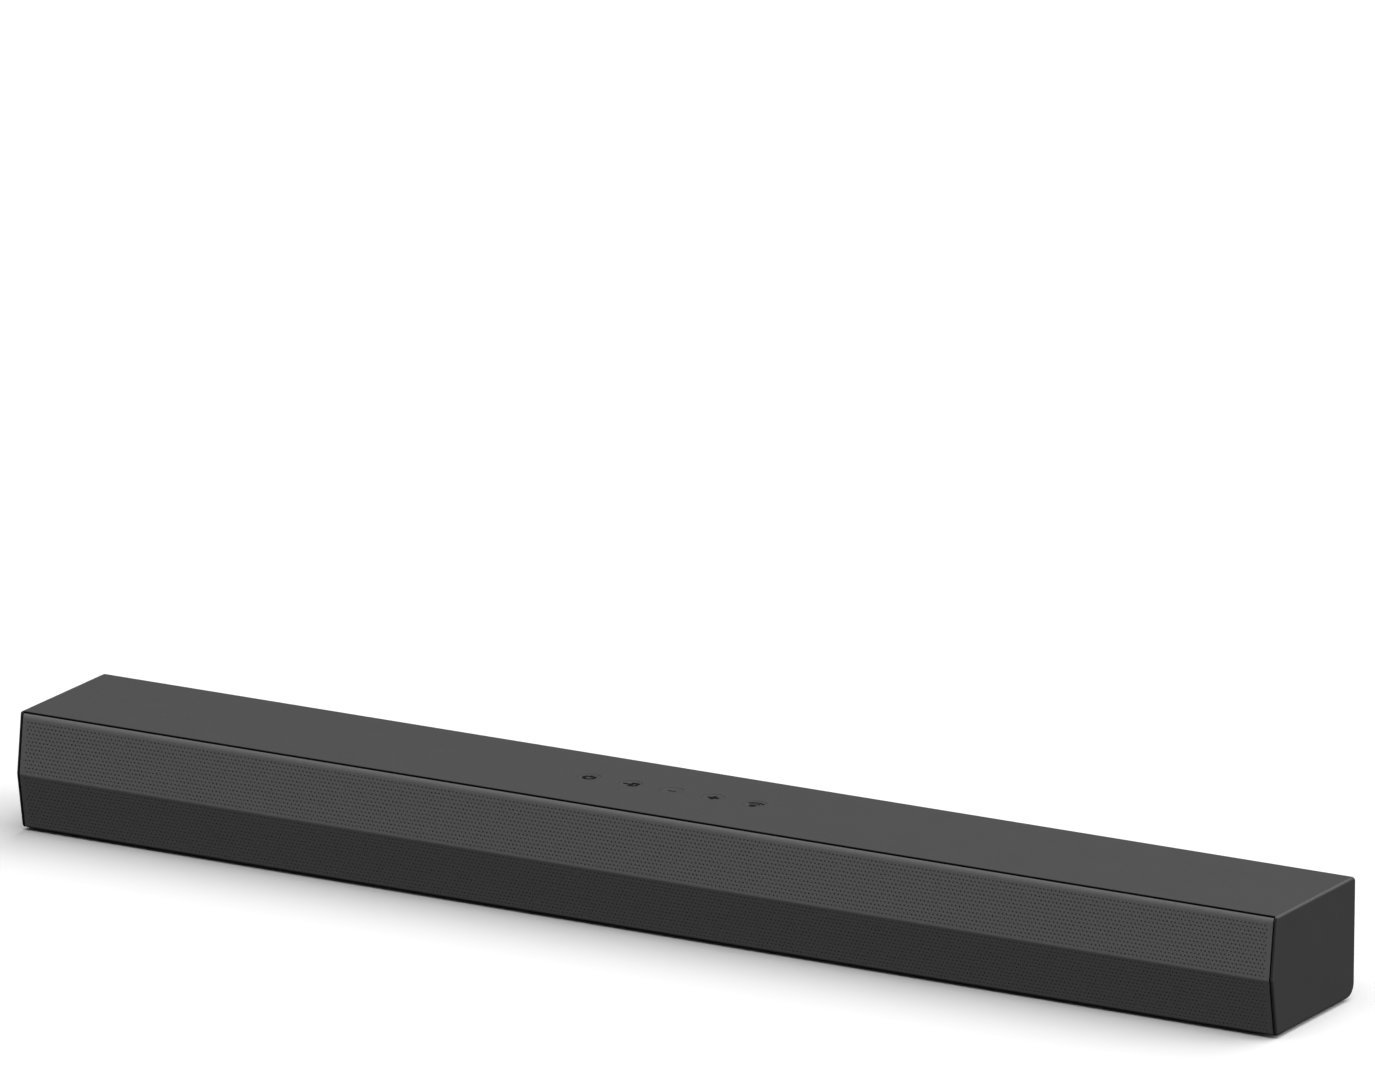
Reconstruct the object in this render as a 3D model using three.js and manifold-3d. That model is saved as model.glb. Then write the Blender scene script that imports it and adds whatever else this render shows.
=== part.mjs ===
// A 2.0-channel soundbar: a long cabinet with a folded front grille, two racetrack drivers,
// five push keys on top, its amplifier and power boards, and a connector bay in the back.
// Millimetres. +X runs along the bar to the listener's right, the front faces -Y, +Z is up, and
// the origin is on the table under the middle of the bar.
import * as THREE from "three";
import { mergeVertices } from "three/addons/utils/BufferGeometryUtils.js";
import Module from "manifold-3d";

// ---- Driving dimensions ----

// Overall size, standing on its feet.
const LENGTH = 720;
const DEPTH = 87;
const HEIGHT = 63;
const FOOT_STAND = 1.6; // how far the feet hold the cabinet off the table

// Cabinet walls and the gaps between pieces.
const WALL = 2.4;
const END_WALL = 1.4; // the end walls are thinner, so that little of them shows beside the grille
const GAP = 0.3; // between pieces that fit into or beside each other
const SEAT = 0.1; // between pieces that rest on each other
const SEAM = 0.45; // the open line round the grille
const BACK_SEAM_HEIGHT = 13; // where the hood's back wall meets the floor tray

// The end outline: the front folds out to a nose, and the back corners are rounded.
const NOSE_HEIGHT = 31;
const TOP_SETBACK = 4; // the top front edge lies this far behind the nose
const BOTTOM_SETBACK = 5.4;
const TOP_FRONT_RADIUS = 1.2;
const BOTTOM_FRONT_RADIUS = 1.6;
const BOTTOM_BACK_RADIUS = 7;
const TOP_BACK_RADIUS = 2.8;
const END_EDGE_RADIUS = 1; // round the outline of each end face

// Grille and baffle.
const GRILLE_SHEET = 0.8;
const GRILLE_DROP = 0.7; // the grille's top edge lies this far under the top face
const BAFFLE_SETBACK = 7; // baffle front face, behind the nose
const BAFFLE_THICKNESS = 2.5;
const NOSE_RIB = 1.8; // the rib that backs the grille's fold

// Loudspeaker drivers, racetrack shaped.
const DRIVER_LENGTH = 100;
const DRIVER_HEIGHT = 44;
const DRIVER_END_MARGIN = 61; // from the inside of the end wall to the driver's flange
const CHAMBER_MARGIN = 12; // from the driver's flange to its chamber wall
const CHAMBER_WALL = 2;
const LEAD_RADIUS = 1.2;
const LEAD_BEHIND_BAFFLE = 4;
const LEAD_OVER_FLOOR = 3;
const LEAD_ROOM = 3; // from a lead's middle to the edge of its notch in the chamber wall
const INLET_LEAD_RADIUS = 2;
const CLIP_WALL = 1.4; // thickness of the clips that hold the key board and the bay
const CLIP_WIDTH = 9;
const CLIP_REACH = 2; // how far a clip laps over the key board's end

// Keys on the top, in a row.
const KEY_NAMES = ["power", "source", "volume_down", "volume_up", "pairing"];
const KEY_RADIUS = 6;
const KEY_PITCH = 23.8;
const KEY_ROW_X = -4.7; // middle of the row, from the middle of the bar
const KEY_ROW_Y = 3.1;
const KEY_TRAVEL = 0.6;
const KEY_DROP = 0.1; // key tops lie this far under the top face
const KEY_LIP = 1.1; // thickness of the rim that stops the key from lifting out
const KEY_LIP_WIDTH = 1;
const KEY_STEM = 3.2;
const KEY_STEM_RADIUS = 1.6;
const SWITCH_SIDE = 6;
const SWITCH_HEIGHT = 3.5;
const SWITCH_PLUNGER_RADIUS = 1.7;

// The connector bay in the back wall and what it holds.
const BAY_LENGTH = 150;
const BAY_HEIGHT = 26;
const BAY_DEPTH = 18;
const BAY_FLOOR = 19; // height of the bay's floor over the table
const BAY_WALL = 1.8;
const SOCKET_STAND = 1; // sockets stand this far into the bay
const BOARD_THICKNESS = 1.6;
const MAIN_BOARD = { length: 132, depth: 34, height: BAY_FLOOR + 5 };
const POWER_BOARD = { length: 96, depth: 38, height: FOOT_STAND + WALL + 6 };
const BOARD_EDGE_INSET = 5; // from a board's edge to its posts' middles
const BOARD_GAP = 1; // between the boards and the bay's wall
const POST_RADIUS = 2.2;
const PIN_RADIUS = 1.1; // the pin on a post, heat-staked over its board
const KEY_BOARD_THICKNESS = 1.2;
const KEY_BOARD_DEPTH = 16;

// Feet, wall-mount inserts and screws.
const FOOT_WIDTH = 22;
const FOOT_LENGTH = 60;
const FOOT_CORNER = 4;
const FOOT_EDGE = 0.4;
const FOOT_INSET = 52; // foot middle from the end of the bar
const FOOT_SUNK = 1; // how deep a foot sits in the floor tray
const INSERT_SPACING = 440; // between the two wall-mount inserts
const INSERT_HEIGHT = 40;
const INSERT_RADIUS = 4;
const INSERT_BORE = 2.5;
const INSERT_LENGTH = 10;
const BOSS_WALL = 2;
const SCREW_RADIUS = 1.5;
const SCREW_HEAD_RADIUS = 2.9;
const SCREW_HEAD = 1.8;
const SCREW_LENGTH = 14;
const SCREW_END_MARGIN = 15; // from the inside of the end wall to the outermost screws

// ---- Worked-out places ----

const END = LENGTH / 2;
const FRONT = -DEPTH / 2;
const BACK = DEPTH / 2;
const INNER_END = END - END_WALL;
const INNER_TOP = HEIGHT - WALL;
const FLOOR_TOP = FOOT_STAND + WALL;
const BAFFLE_FRONT = FRONT + BAFFLE_SETBACK;
const BAFFLE_BACK = BAFFLE_FRONT + BAFFLE_THICKNESS;
const DRIVER_X = INNER_END - DRIVER_END_MARGIN - DRIVER_LENGTH / 2;
const DRIVER_Z = (FLOOR_TOP + INNER_TOP) / 2;
const CHAMBER_X = DRIVER_X - DRIVER_LENGTH / 2 - CHAMBER_MARGIN;
const BAY_BACK_WALL = BACK - BAY_DEPTH; // the face that the sockets look out of
const BAY_MIDDLE = BAY_FLOOR + BAY_HEIGHT / 2;
const SCREW_BACK_Y = BACK - 15;
const SCREW_FRONT_Y = BAFFLE_BACK + 9;
const SCREW_END_X = INNER_END - SCREW_END_MARGIN;
const SCREW_PLACES = [
  [-SCREW_END_X, SCREW_FRONT_Y],
  [-SCREW_END_X, SCREW_BACK_Y],
  [-CHAMBER_X + 10, SCREW_BACK_Y],
  [CHAMBER_X - 10, SCREW_BACK_Y],
  [SCREW_END_X, SCREW_BACK_Y],
  [SCREW_END_X, SCREW_FRONT_Y],
];

// ---- Solid modelling helpers ----

const wasm = await Module();
wasm.setup();

// A closed three.js geometry as a solid that can be cut and joined.
function solid(geometry) {
  const bare = geometry.clone();
  bare.deleteAttribute("normal");
  bare.deleteAttribute("uv");
  const merged = mergeVertices(bare, 1e-4);
  return new wasm.Manifold(
    new wasm.Mesh({
      numProp: 3,
      vertProperties: merged.attributes.position.array,
      triVerts: new Uint32Array(merged.index.array),
    }),
  );
}

// The solid as a three.js geometry with flat faces.
function geometryOf(made) {
  const mesh = made.getMesh();
  const indexed = new THREE.BufferGeometry();
  indexed.setAttribute("position", new THREE.BufferAttribute(mesh.vertProperties, 3));
  indexed.setIndex(new THREE.BufferAttribute(mesh.triVerts, 1));
  const flat = indexed.toNonIndexed();
  flat.computeVertexNormals();
  return flat;
}

const joined = (...solids) => solids.reduce((all, next) => all.add(next));
const cut = (from, ...solids) => solids.reduce((left, next) => left.subtract(next), from);

// A box between two corners.
function box([x0, y0, z0], [x1, y1, z1]) {
  const geometry = new THREE.BoxGeometry(x1 - x0, y1 - y0, z1 - z0);
  return solid(geometry.translate((x0 + x1) / 2, (y0 + y1) / 2, (z0 + z1) / 2));
}

// An outline in Y and Z, run along X. An edge radius rounds both ends without growing the outline.
function alongX(shape, x0, x1, edge = 0) {
  const geometry = new THREE.ExtrudeGeometry(shape, {
    depth: x1 - x0 - 2 * edge,
    bevelEnabled: edge > 0,
    bevelThickness: edge,
    bevelSize: edge,
    bevelOffset: -edge,
    bevelSegments: 3,
    curveSegments: 5,
  });
  const turn = new THREE.Matrix4().makeBasis(
    new THREE.Vector3(0, 1, 0),
    new THREE.Vector3(0, 0, 1),
    new THREE.Vector3(1, 0, 0),
  );
  return solid(geometry.applyMatrix4(turn).translate(x0 + edge, 0, 0));
}

// An outline in X and Z, run along Y.
function alongY(shape, y0, y1) {
  const geometry = new THREE.ExtrudeGeometry(shape, {
    depth: y1 - y0,
    bevelEnabled: false,
    curveSegments: 4,
  });
  return solid(geometry.rotateX(Math.PI / 2).translate(0, y1, 0));
}

// An outline in X and Y, run along Z.
function alongZ(shape, z0, z1) {
  const geometry = new THREE.ExtrudeGeometry(shape, {
    depth: z1 - z0,
    bevelEnabled: false,
    curveSegments: 3,
  });
  return solid(geometry.translate(0, 0, z0));
}

// An upright cylinder standing on z0.
function cylinder(radius, x, y, z0, z1, sides = 16) {
  const geometry = new THREE.CylinderGeometry(radius, radius, z1 - z0, sides);
  return solid(geometry.rotateX(Math.PI / 2).translate(x, y, (z0 + z1) / 2));
}

// A cylinder lying along Y.
function pinAlongY(radius, x, z, y0, y1, sides = 16) {
  const geometry = new THREE.CylinderGeometry(radius, radius, y1 - y0, sides);
  return solid(geometry.translate(x, (y0 + y1) / 2, z));
}

// A turned piece on the Y axis. The profile is a list of [radius, y] that starts and ends on
// the axis or closes on itself, going round so that its faces point out.
function turned(profile, sides = 20) {
  const points = profile.map(([radius, y]) => new THREE.Vector2(radius, y));
  return new THREE.LatheGeometry(points, sides, Math.PI / sides);
}

// A rectangle with round corners, about its middle.
function roundedRectangle(width, height, radius) {
  const [x, y] = [width / 2, height / 2];
  const shape = new THREE.Shape();
  shape.absarc(x - radius, y - radius, radius, 0, Math.PI / 2);
  shape.absarc(-x + radius, y - radius, radius, Math.PI / 2, Math.PI);
  shape.absarc(-x + radius, -y + radius, radius, Math.PI, 1.5 * Math.PI);
  shape.absarc(x - radius, -y + radius, radius, 1.5 * Math.PI, 2 * Math.PI);
  return shape;
}

const outline = (points) => new THREE.Shape(points.map(([x, y]) => new THREE.Vector2(x, y)));

// A round cable along a smooth curve through its points.
function cable(points, radius, steps) {
  const places = points.map((point) => new THREE.Vector3(...point));
  const path = new THREE.CatmullRomCurve3(places, false, "centripetal");
  const section = new THREE.Shape();
  section.absarc(0, 0, radius, 0, 2 * Math.PI);
  const settings = { steps, extrudePath: path, curveSegments: 4, bevelEnabled: false };
  return solid(new THREE.ExtrudeGeometry(section, settings));
}

// ---- The end outline ----

// The corners of the outline in Y and Z, counter-clockwise seen from +X, each with its radius.
const CORNERS = [
  [FRONT + TOP_SETBACK, HEIGHT, TOP_FRONT_RADIUS],
  [FRONT, NOSE_HEIGHT, 0],
  [FRONT + BOTTOM_SETBACK, FOOT_STAND, BOTTOM_FRONT_RADIUS],
  [BACK, FOOT_STAND, BOTTOM_BACK_RADIUS],
  [BACK, HEIGHT, TOP_BACK_RADIUS],
];

// Where two lines meet, each given by a point and a direction.
function meeting(a, da, b, db) {
  const across = da.x * db.y - da.y * db.x;
  const t = ((b.x - a.x) * db.y - (b.y - a.y) * db.x) / across;
  return a.clone().addScaledVector(da, t);
}

// The corner points moved inwards, so that every side lies that far inside the outline.
function insetCorners(inset) {
  const points = CORNERS.map(([y, z]) => new THREE.Vector2(y, z));
  const sides = points.map((point, i) => {
    const along = points[(i + 1) % points.length].clone().sub(point).normalize();
    const inwards = new THREE.Vector2(-along.y, along.x);
    return { start: point.clone().addScaledVector(inwards, inset), along };
  });
  return sides.map((side, i) => {
    const before = sides[(i + sides.length - 1) % sides.length];
    return meeting(before.start, before.along, side.start, side.along);
  });
}

// The outline as a shape, with its corners rounded, moved inwards by an inset.
function endOutline(inset = 0, arcSteps = 5) {
  const points = insetCorners(inset);
  const round = points.flatMap((point, i) => {
    const radius = Math.max(CORNERS[i][2] - inset, 0);
    const toBefore = points[(i + points.length - 1) % points.length].clone().sub(point).normalize();
    const toNext = points[(i + 1) % points.length].clone().sub(point).normalize();
    if (radius === 0) return [point];
    const half = Math.acos(toBefore.dot(toNext)) / 2;
    const middle = toBefore.clone().add(toNext).normalize();
    const centre = point.clone().addScaledVector(middle, radius / Math.sin(half));
    const first = point.clone().addScaledVector(toBefore, radius / Math.tan(half)).sub(centre);
    const sweep = Math.PI - 2 * half;
    return Array.from({ length: arcSteps + 1 }, (_, k) =>
      first.clone().rotateAround(new THREE.Vector2(), (sweep * k) / arcSteps).add(centre),
    );
  });
  return new THREE.Shape(round);
}

// Everything in front of the line that lies an inset behind the outline's front.
function frontRegion(inset) {
  const [top, nose, bottom] = insetCorners(inset);
  const beyond = (from, to, z) => from.y + ((to.y - from.y) * (z - from.x)) / (to.x - from.x);
  const yAt = (a, b, z) => beyond(new THREE.Vector2(a.y, a.x), new THREE.Vector2(b.y, b.x), z);
  const [over, under] = [HEIGHT + 10, -10];
  return outline([
    [FRONT - 20, over],
    [FRONT - 20, under],
    [yAt(nose, bottom, under), under],
    [nose.x, nose.y],
    [yAt(top, nose, over), over],
  ]);
}

// ---- Cabinet ----

const between = (inside) => [-INNER_END + inside, INNER_END - inside];

// The hood: top, back and end walls in one moulding, with its screw bosses and insert seats.
function topCabinet() {
  const [left, right] = between(0);
  const outside = alongX(endOutline(), -END, END, END_EDGE_RADIUS);
  const hollow = box([left, FRONT - 20, -10], [right, BACK - WALL, INNER_TOP]);
  const grilleRoom = alongX(frontRegion(GRILLE_SHEET + SEAM), left, right);
  const trayRoom = box([left, BACK - WALL - 1, -10], [right, BACK + 1, BACK_SEAM_HEIGHT]);
  const bayMouth = box(
    [-BAY_LENGTH / 2, BACK - WALL - 1, BAY_FLOOR],
    [BAY_LENGTH / 2, BACK + 1, BAY_FLOOR + BAY_HEIGHT],
  );
  const keyHoles = keyPlaces().map((x) =>
    cylinder(KEY_RADIUS + GAP, x, KEY_ROW_Y, INNER_TOP - 1, HEIGHT + 1, 24),
  );
  const bosses = SCREW_PLACES.map(([x, y]) =>
    cylinder(SCREW_RADIUS + BOSS_WALL, x, y, FLOOR_TOP + SEAT, INNER_TOP + 1, 12),
  );
  const bossHoles = SCREW_PLACES.map(([x, y]) =>
    cylinder(SCREW_RADIUS + GAP, x, y, 0, FOOT_STAND + SCREW_LENGTH + 2, 12),
  );
  const seats = insertPlaces().map((x) =>
    pinAlongY(INSERT_RADIUS + GAP + BOSS_WALL, x, INSERT_HEIGHT, BACK - INSERT_LENGTH, BACK - WALL / 2),
  );
  const seatHoles = insertPlaces().map((x) =>
    pinAlongY(INSERT_RADIUS + GAP, x, INSERT_HEIGHT, BACK - INSERT_LENGTH - 1, BACK + 1),
  );
  const shell = cut(outside, hollow, grilleRoom, trayRoom, bayMouth, ...keyHoles);
  const fixings = [...bosses, ...seats, ...keyBoardClips(), ...bayClips()];
  return cut(joined(shell, ...fixings), ...bossHoles, ...seatHoles);
}

// Two clips that hang from the hood and hold the key board by its ends.
function keyBoardClips() {
  const half = keyBoardHalf();
  const [low, high] = [keyBoardTop() - KEY_BOARD_THICKNESS - GAP, keyBoardTop() + GAP];
  const halfWidth = CLIP_WIDTH / 2;
  return [-1, 1].map((side) => {
    const spans = (from, to) => [KEY_ROW_X + side * from, KEY_ROW_X + side * to].sort((a, b) => a - b);
    const [x0, x1] = spans(half - CLIP_REACH, half + GAP + CLIP_WALL);
    const [slot0, slot1] = spans(half - 2 * CLIP_REACH, half + GAP);
    return cut(
      box([x0, KEY_ROW_Y - halfWidth, low - CLIP_WALL], [x1, KEY_ROW_Y + halfWidth, INNER_TOP + 0.5]),
      box([slot0, KEY_ROW_Y - 2 * halfWidth, low], [slot1, KEY_ROW_Y + 2 * halfWidth, high]),
    );
  });
}

// Four clips on the hood's back wall that hold the connector bay by its rim.
function bayClips() {
  const [wall, behind] = [BACK - WALL, bayMouthY() - BAY_WALL - GAP];
  const halfWidth = CLIP_WIDTH / 2;
  return [-1, 1].flatMap((side) =>
    [
      [BAY_FLOOR - BAY_RIM_BELOW, -1],
      [BAY_FLOOR + BAY_HEIGHT + BAY_RIM, 1],
    ].map(([edge, out]) => {
      const x = side * (BAY_LENGTH / 2 - 3 * halfWidth);
      const spans = (from, to) => [edge + out * from, edge + out * to].sort((a, b) => a - b);
      const [z0, z1] = spans(-CLIP_WALL, GAP + CLIP_WALL);
      const [slot0, slot1] = spans(-2 * CLIP_WALL, GAP);
      return cut(
        box([x - halfWidth, behind - CLIP_WALL, z0], [x + halfWidth, wall + 0.5, z1]),
        box([x - 2 * halfWidth, behind, slot0], [x + 2 * halfWidth, wall, slot1]),
      );
    }),
  );
}

// The floor tray: closes the bottom and the lower back corner, and carries the board posts, the
// feet and the screw seats.
function bottomCabinet() {
  const [left, right] = between(GAP);
  const full = alongX(endOutline(), left, right);
  const inner = alongX(endOutline(WALL), left - 1, right + 1);
  const over = box([left - 1, -DEPTH, BACK_SEAM_HEIGHT - SEAM], [right + 1, DEPTH, HEIGHT + 10]);
  const grilleRoom = alongX(frontRegion(GRILLE_SHEET + SEAM), left - 1, right + 1);
  const frontEdge = box([left - 1, -DEPTH, FLOOR_TOP], [right + 1, 0, HEIGHT + 10]);
  const shell = cut(full, inner, over, grilleRoom, frontEdge);

  const posts = [
    ...boardPosts(MAIN_BOARD, mainBoardX(), mainBoardY()),
    ...boardPosts(POWER_BOARD, powerBoardX(), powerBoardY()),
  ];
  const footOutline = roundedRectangle(FOOT_WIDTH + 2 * GAP, FOOT_LENGTH + 2 * GAP, FOOT_CORNER);
  const footRoom = alongZ(footOutline, 0, FOOT_STAND + FOOT_SUNK);
  const footRooms = footPlaces().map((x) => footRoom.translate(x, 0, 0));
  const screwHoles = SCREW_PLACES.map(([x, y]) =>
    cylinder(SCREW_RADIUS + GAP, x, y, 0, FLOOR_TOP + 1, 12),
  );
  const headRooms = SCREW_PLACES.map(([x, y]) =>
    cylinder(SCREW_HEAD_RADIUS + GAP, x, y, 0, FOOT_STAND + SCREW_HEAD / 2, 16),
  );
  return cut(joined(shell, ...posts), ...footRooms, ...screwHoles, ...headRooms);
}

// Where a board's four posts stand, from its middle.
const postPlaces = ({ length, depth }) =>
  [-1, 1].flatMap((side) =>
    [-1, 1].map((end) => [side * (length / 2 - BOARD_EDGE_INSET), end * (depth / 2 - BOARD_EDGE_INSET)]),
  );

// Four posts that a board stands on, each with a pin through the board.
const boardPosts = (board, x, y) =>
  postPlaces(board).map(([dx, dy]) => {
    const post = cylinder(POST_RADIUS, x + dx, y + dy, FLOOR_TOP - 0.5, board.height - SEAT, 10);
    const pinTop = board.height + BOARD_THICKNESS + 1;
    return joined(post, cylinder(PIN_RADIUS, x + dx, y + dy, FLOOR_TOP, pinTop, 8));
  });

// The flat inner front that the drivers hang on, with the rib that backs the grille's fold and the
// walls that shut off each driver's chamber.
function frontBaffle() {
  const [left, right] = between(GAP);
  const [low, high] = [FLOOR_TOP + SEAT, INNER_TOP - GAP];
  const plate = box([left, BAFFLE_FRONT, low], [right, BAFFLE_BACK, high]);
  const { length, height } = driverOpening();
  const opening = alongY(roundedRectangle(length, height, height / 2), BAFFLE_FRONT - 1, BAFFLE_BACK + 1);
  const openings = [-DRIVER_X, DRIVER_X].map((x) => opening.translate(x, 0, DRIVER_Z));
  const window = box(
    [receiverX() + EYE.x0 - GAP, BAFFLE_FRONT - 1, receiverZ() + EYE.z0 - GAP],
    [receiverX() + LAMP.x1 + GAP, BAFFLE_BACK + 1, receiverZ() + EYE.z1 + GAP],
  );
  const pins = [-1, 1].map((side) => {
    const x = receiverX() + side * receiverPinX();
    return pinAlongY(PIN_RADIUS, x, receiverZ(), BAFFLE_BACK - 0.5, BAFFLE_BACK + 2.5, 8);
  });
  const ribFront = insetCorners(GRILLE_SHEET + GAP)[1].x;
  const ribEnds = [
    [left, -DRIVER_X - DRIVER_LENGTH / 2],
    [-DRIVER_X + DRIVER_LENGTH / 2, DRIVER_X - DRIVER_LENGTH / 2],
    [DRIVER_X + DRIVER_LENGTH / 2, right],
  ];
  const ribs = ribEnds.map(([x0, x1]) =>
    box(
      [x0, ribFront + NOSE_RIB / 4, NOSE_HEIGHT - NOSE_RIB / 2],
      [x1, BAFFLE_FRONT + 0.5, NOSE_HEIGHT + NOSE_RIB / 2],
    ),
  );
  const [notchFront, notchBack] = [leadY() - LEAD_ROOM, leadY() + LEAD_ROOM];
  const notchTop = FLOOR_TOP + 2 * LEAD_OVER_FLOOR;
  const chamberWalls = [-CHAMBER_X, CHAMBER_X].map((x) => {
    const [x0, x1] = [x - CHAMBER_WALL, x + CHAMBER_WALL];
    return cut(
      alongX(endOutline(WALL + GAP), x - CHAMBER_WALL / 2, x + CHAMBER_WALL / 2),
      box([x0, -DEPTH, -HEIGHT], [x1, BAFFLE_BACK - 0.5, 2 * HEIGHT]),
      box([x0, notchFront, low - 1], [x1, notchBack, notchTop]),
    );
  });
  return joined(cut(plate, ...openings, window), ...ribs, ...pins, ...chamberWalls);
}

// The folded front panel, a sheet between the end walls from the top edge to the bottom edge.
function frontGrille() {
  const [left, right] = between(SEAM);
  const inside = alongX(endOutline(GRILLE_SHEET), left - 1, right + 1);
  const over = box([left - 1, -DEPTH, HEIGHT - GRILLE_DROP], [right + 1, DEPTH, HEIGHT + 1]);
  const sheet = cut(alongX(endOutline(), left, right), inside, over);
  return sheet.intersect(alongX(frontRegion(GRILLE_SHEET), left, right));
}

// ---- Keys ----

const keyPlaces = () => KEY_NAMES.map((_, i) => KEY_ROW_X + (i - (KEY_NAMES.length - 1) / 2) * KEY_PITCH);
const KEY_TOP = HEIGHT - KEY_DROP;
const KEY_SKIRT = INNER_TOP - GAP; // top of the key's lip
const STEM_END = KEY_SKIRT - KEY_LIP - KEY_STEM;
const SWITCH_TOP = STEM_END - KEY_TRAVEL - SEAT;
const KEY_BOARD_TOP = SWITCH_TOP - SWITCH_HEIGHT;

// A key cap about its own axis, with its top at the origin: a disc, a lip and a stem.
function keyCap() {
  const dish = 0.25;
  const lip = KEY_SKIRT - KEY_TOP;
  const profile = [
    [0, STEM_END - KEY_TOP],
    [KEY_STEM_RADIUS, STEM_END - KEY_TOP],
    [KEY_STEM_RADIUS, lip - KEY_LIP],
    [KEY_RADIUS + KEY_LIP_WIDTH, lip - KEY_LIP],
    [KEY_RADIUS + KEY_LIP_WIDTH, lip],
    [KEY_RADIUS, lip],
    [KEY_RADIUS, -0.3],
    [KEY_RADIUS - 0.3, 0],
    [KEY_RADIUS * 0.6, -dish * 0.7],
    [0, -dish],
  ];
  return turned(profile).rotateX(Math.PI / 2);
}

// A tact switch about its own axis, standing on its board at the origin.
function keySwitch() {
  const [half, shoulder] = [SWITCH_SIDE / 2, SWITCH_HEIGHT - 0.8];
  const body = box([-half, -half, 0], [half, half, shoulder]);
  return joined(body, cylinder(SWITCH_PLUNGER_RADIUS, 0, 0, shoulder - 0.4, SWITCH_HEIGHT, 12));
}

const keyRowHalf = (KEY_PITCH * (KEY_NAMES.length - 1)) / 2 + KEY_RADIUS + KEY_LIP_WIDTH;
const keyBoardHalf = () => keyRowHalf + GAP + CLIP_REACH;
const keyBoardTop = () => KEY_BOARD_TOP - SEAT;

function buttonBoard() {
  const [half, top] = [keyBoardHalf(), keyBoardTop()];
  const halfDepth = KEY_BOARD_DEPTH / 2;
  return box(
    [KEY_ROW_X - half, KEY_ROW_Y - halfDepth, top - KEY_BOARD_THICKNESS],
    [KEY_ROW_X + half, KEY_ROW_Y + halfDepth, top],
  );
}

// ---- Drivers ----

// Each driver is built about its axis with its flange's front face at y 0 and its back at +Y.
const STRETCH = (DRIVER_LENGTH - DRIVER_HEIGHT) / 2;
const FLANGE = 1.2;
const FLANGE_RADIUS = DRIVER_HEIGHT / 2;
const EDGE_RADIUS = FLANGE_RADIUS - 2.6; // where the surround sits on the flange
const SURROUND_WIDTH = 4.4;
const SURROUND_LIP = 1; // how far the surround laps onto the flange
const CONE_RADIUS = EDGE_RADIUS - SURROUND_WIDTH;
const NECK_DEPTH = 10;
const FRAME_STRAIGHT = 3; // the basket keeps its full length this far back, clear of the cone's stroke
const CAN_RADIUS = 17.5;
const PLATE_DEPTH = 19; // front face of the motor's front plate
const COIL_RADIUS = 7.6;
const MAGNET_RADIUS = 16;
const MAGNET_HEIGHT = 9;

function driverOpening() {
  const margin = EDGE_RADIUS + 0.6;
  return { length: 2 * (STRETCH + margin), height: 2 * margin };
}

// Draws a turned piece out into a racetrack: full length at the front and over any straight part,
// round from the neck back.
function stretched(geometry, straight = 0) {
  const at = geometry.attributes.position;
  for (let i = 0; i < at.count; i++) {
    const toNeck = (NECK_DEPTH - at.getY(i)) / (NECK_DEPTH - straight);
    const share = Math.min(Math.max(toNeck, 0), 1);
    const side = Math.abs(at.getX(i)) < 1e-6 ? 0 : Math.sign(at.getX(i));
    at.setX(i, at.getX(i) + side * share * STRETCH);
  }
  return geometry;
}

const washer = (inner, outer, y0, y1) => [
  [inner, y0],
  [outer, y0],
  [outer, y1],
  [inner, y1],
  [inner, y0],
];

// The pressed steel basket, with a window through each side of its wall.
function driverFrame() {
  const basket = stretched(
    turned([
      [EDGE_RADIUS - 1, 0],
      [FLANGE_RADIUS, 0],
      [FLANGE_RADIUS, FLANGE],
      [EDGE_RADIUS + 0.2, FLANGE],
      [EDGE_RADIUS + 0.2, FRAME_STRAIGHT],
      [CAN_RADIUS + 1, NECK_DEPTH],
      [CAN_RADIUS + 1, PLATE_DEPTH + 3],
      [COIL_RADIUS + 1, PLATE_DEPTH + 3],
      [COIL_RADIUS + 1, PLATE_DEPTH],
      [CAN_RADIUS, PLATE_DEPTH],
      [CAN_RADIUS, NECK_DEPTH],
      [EDGE_RADIUS - 1, FRAME_STRAIGHT],
      [EDGE_RADIUS - 1, 0],
    ]),
    FRAME_STRAIGHT,
  );
  const [half, front, back] = [CAN_RADIUS - 4, FRAME_STRAIGHT + 0.6, NECK_DEPTH - 1.6];
  const windows = [-1, 1].flatMap((side) => {
    const [low, high] = [side * half, side * (FLANGE_RADIUS + 5)].sort((a, b) => a - b);
    const ends = [side * (STRETCH / 2 + half), side * (STRETCH + FLANGE_RADIUS)];
    const [inner, outer] = ends.sort((a, b) => a - b);
    return [
      box([-half, front, low], [half, back, high]),
      box([inner, front, -half / 2], [outer, back, half / 2]),
    ];
  });
  return cut(solid(basket), ...windows);
}

// The half-roll rubber edge between the flange and the cone.
function driverSurround() {
  const [inner, outer] = [CONE_RADIUS - 0.6, EDGE_RADIUS + SURROUND_LIP];
  const roll = (outer - inner) / 2 - 1;
  const middle = (inner + outer) / 2;
  const arc = (radius) =>
    [0, 1, 2, 3].map((k) => {
      const angle = (Math.PI * k) / 3;
      return [middle - radius * Math.cos(angle), -SEAT - 0.5 - radius * Math.sin(angle) * 0.85];
    });
  const front = arc(roll);
  const back = arc(roll - 0.5).reverse();
  return stretched(
    turned([
      [inner, -SEAT - 0.5],
      ...front,
      [outer, -SEAT - 0.5],
      [outer, -SEAT],
      ...back,
      [inner, -SEAT],
      [inner, -SEAT - 0.5],
    ]),
  );
}

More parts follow.
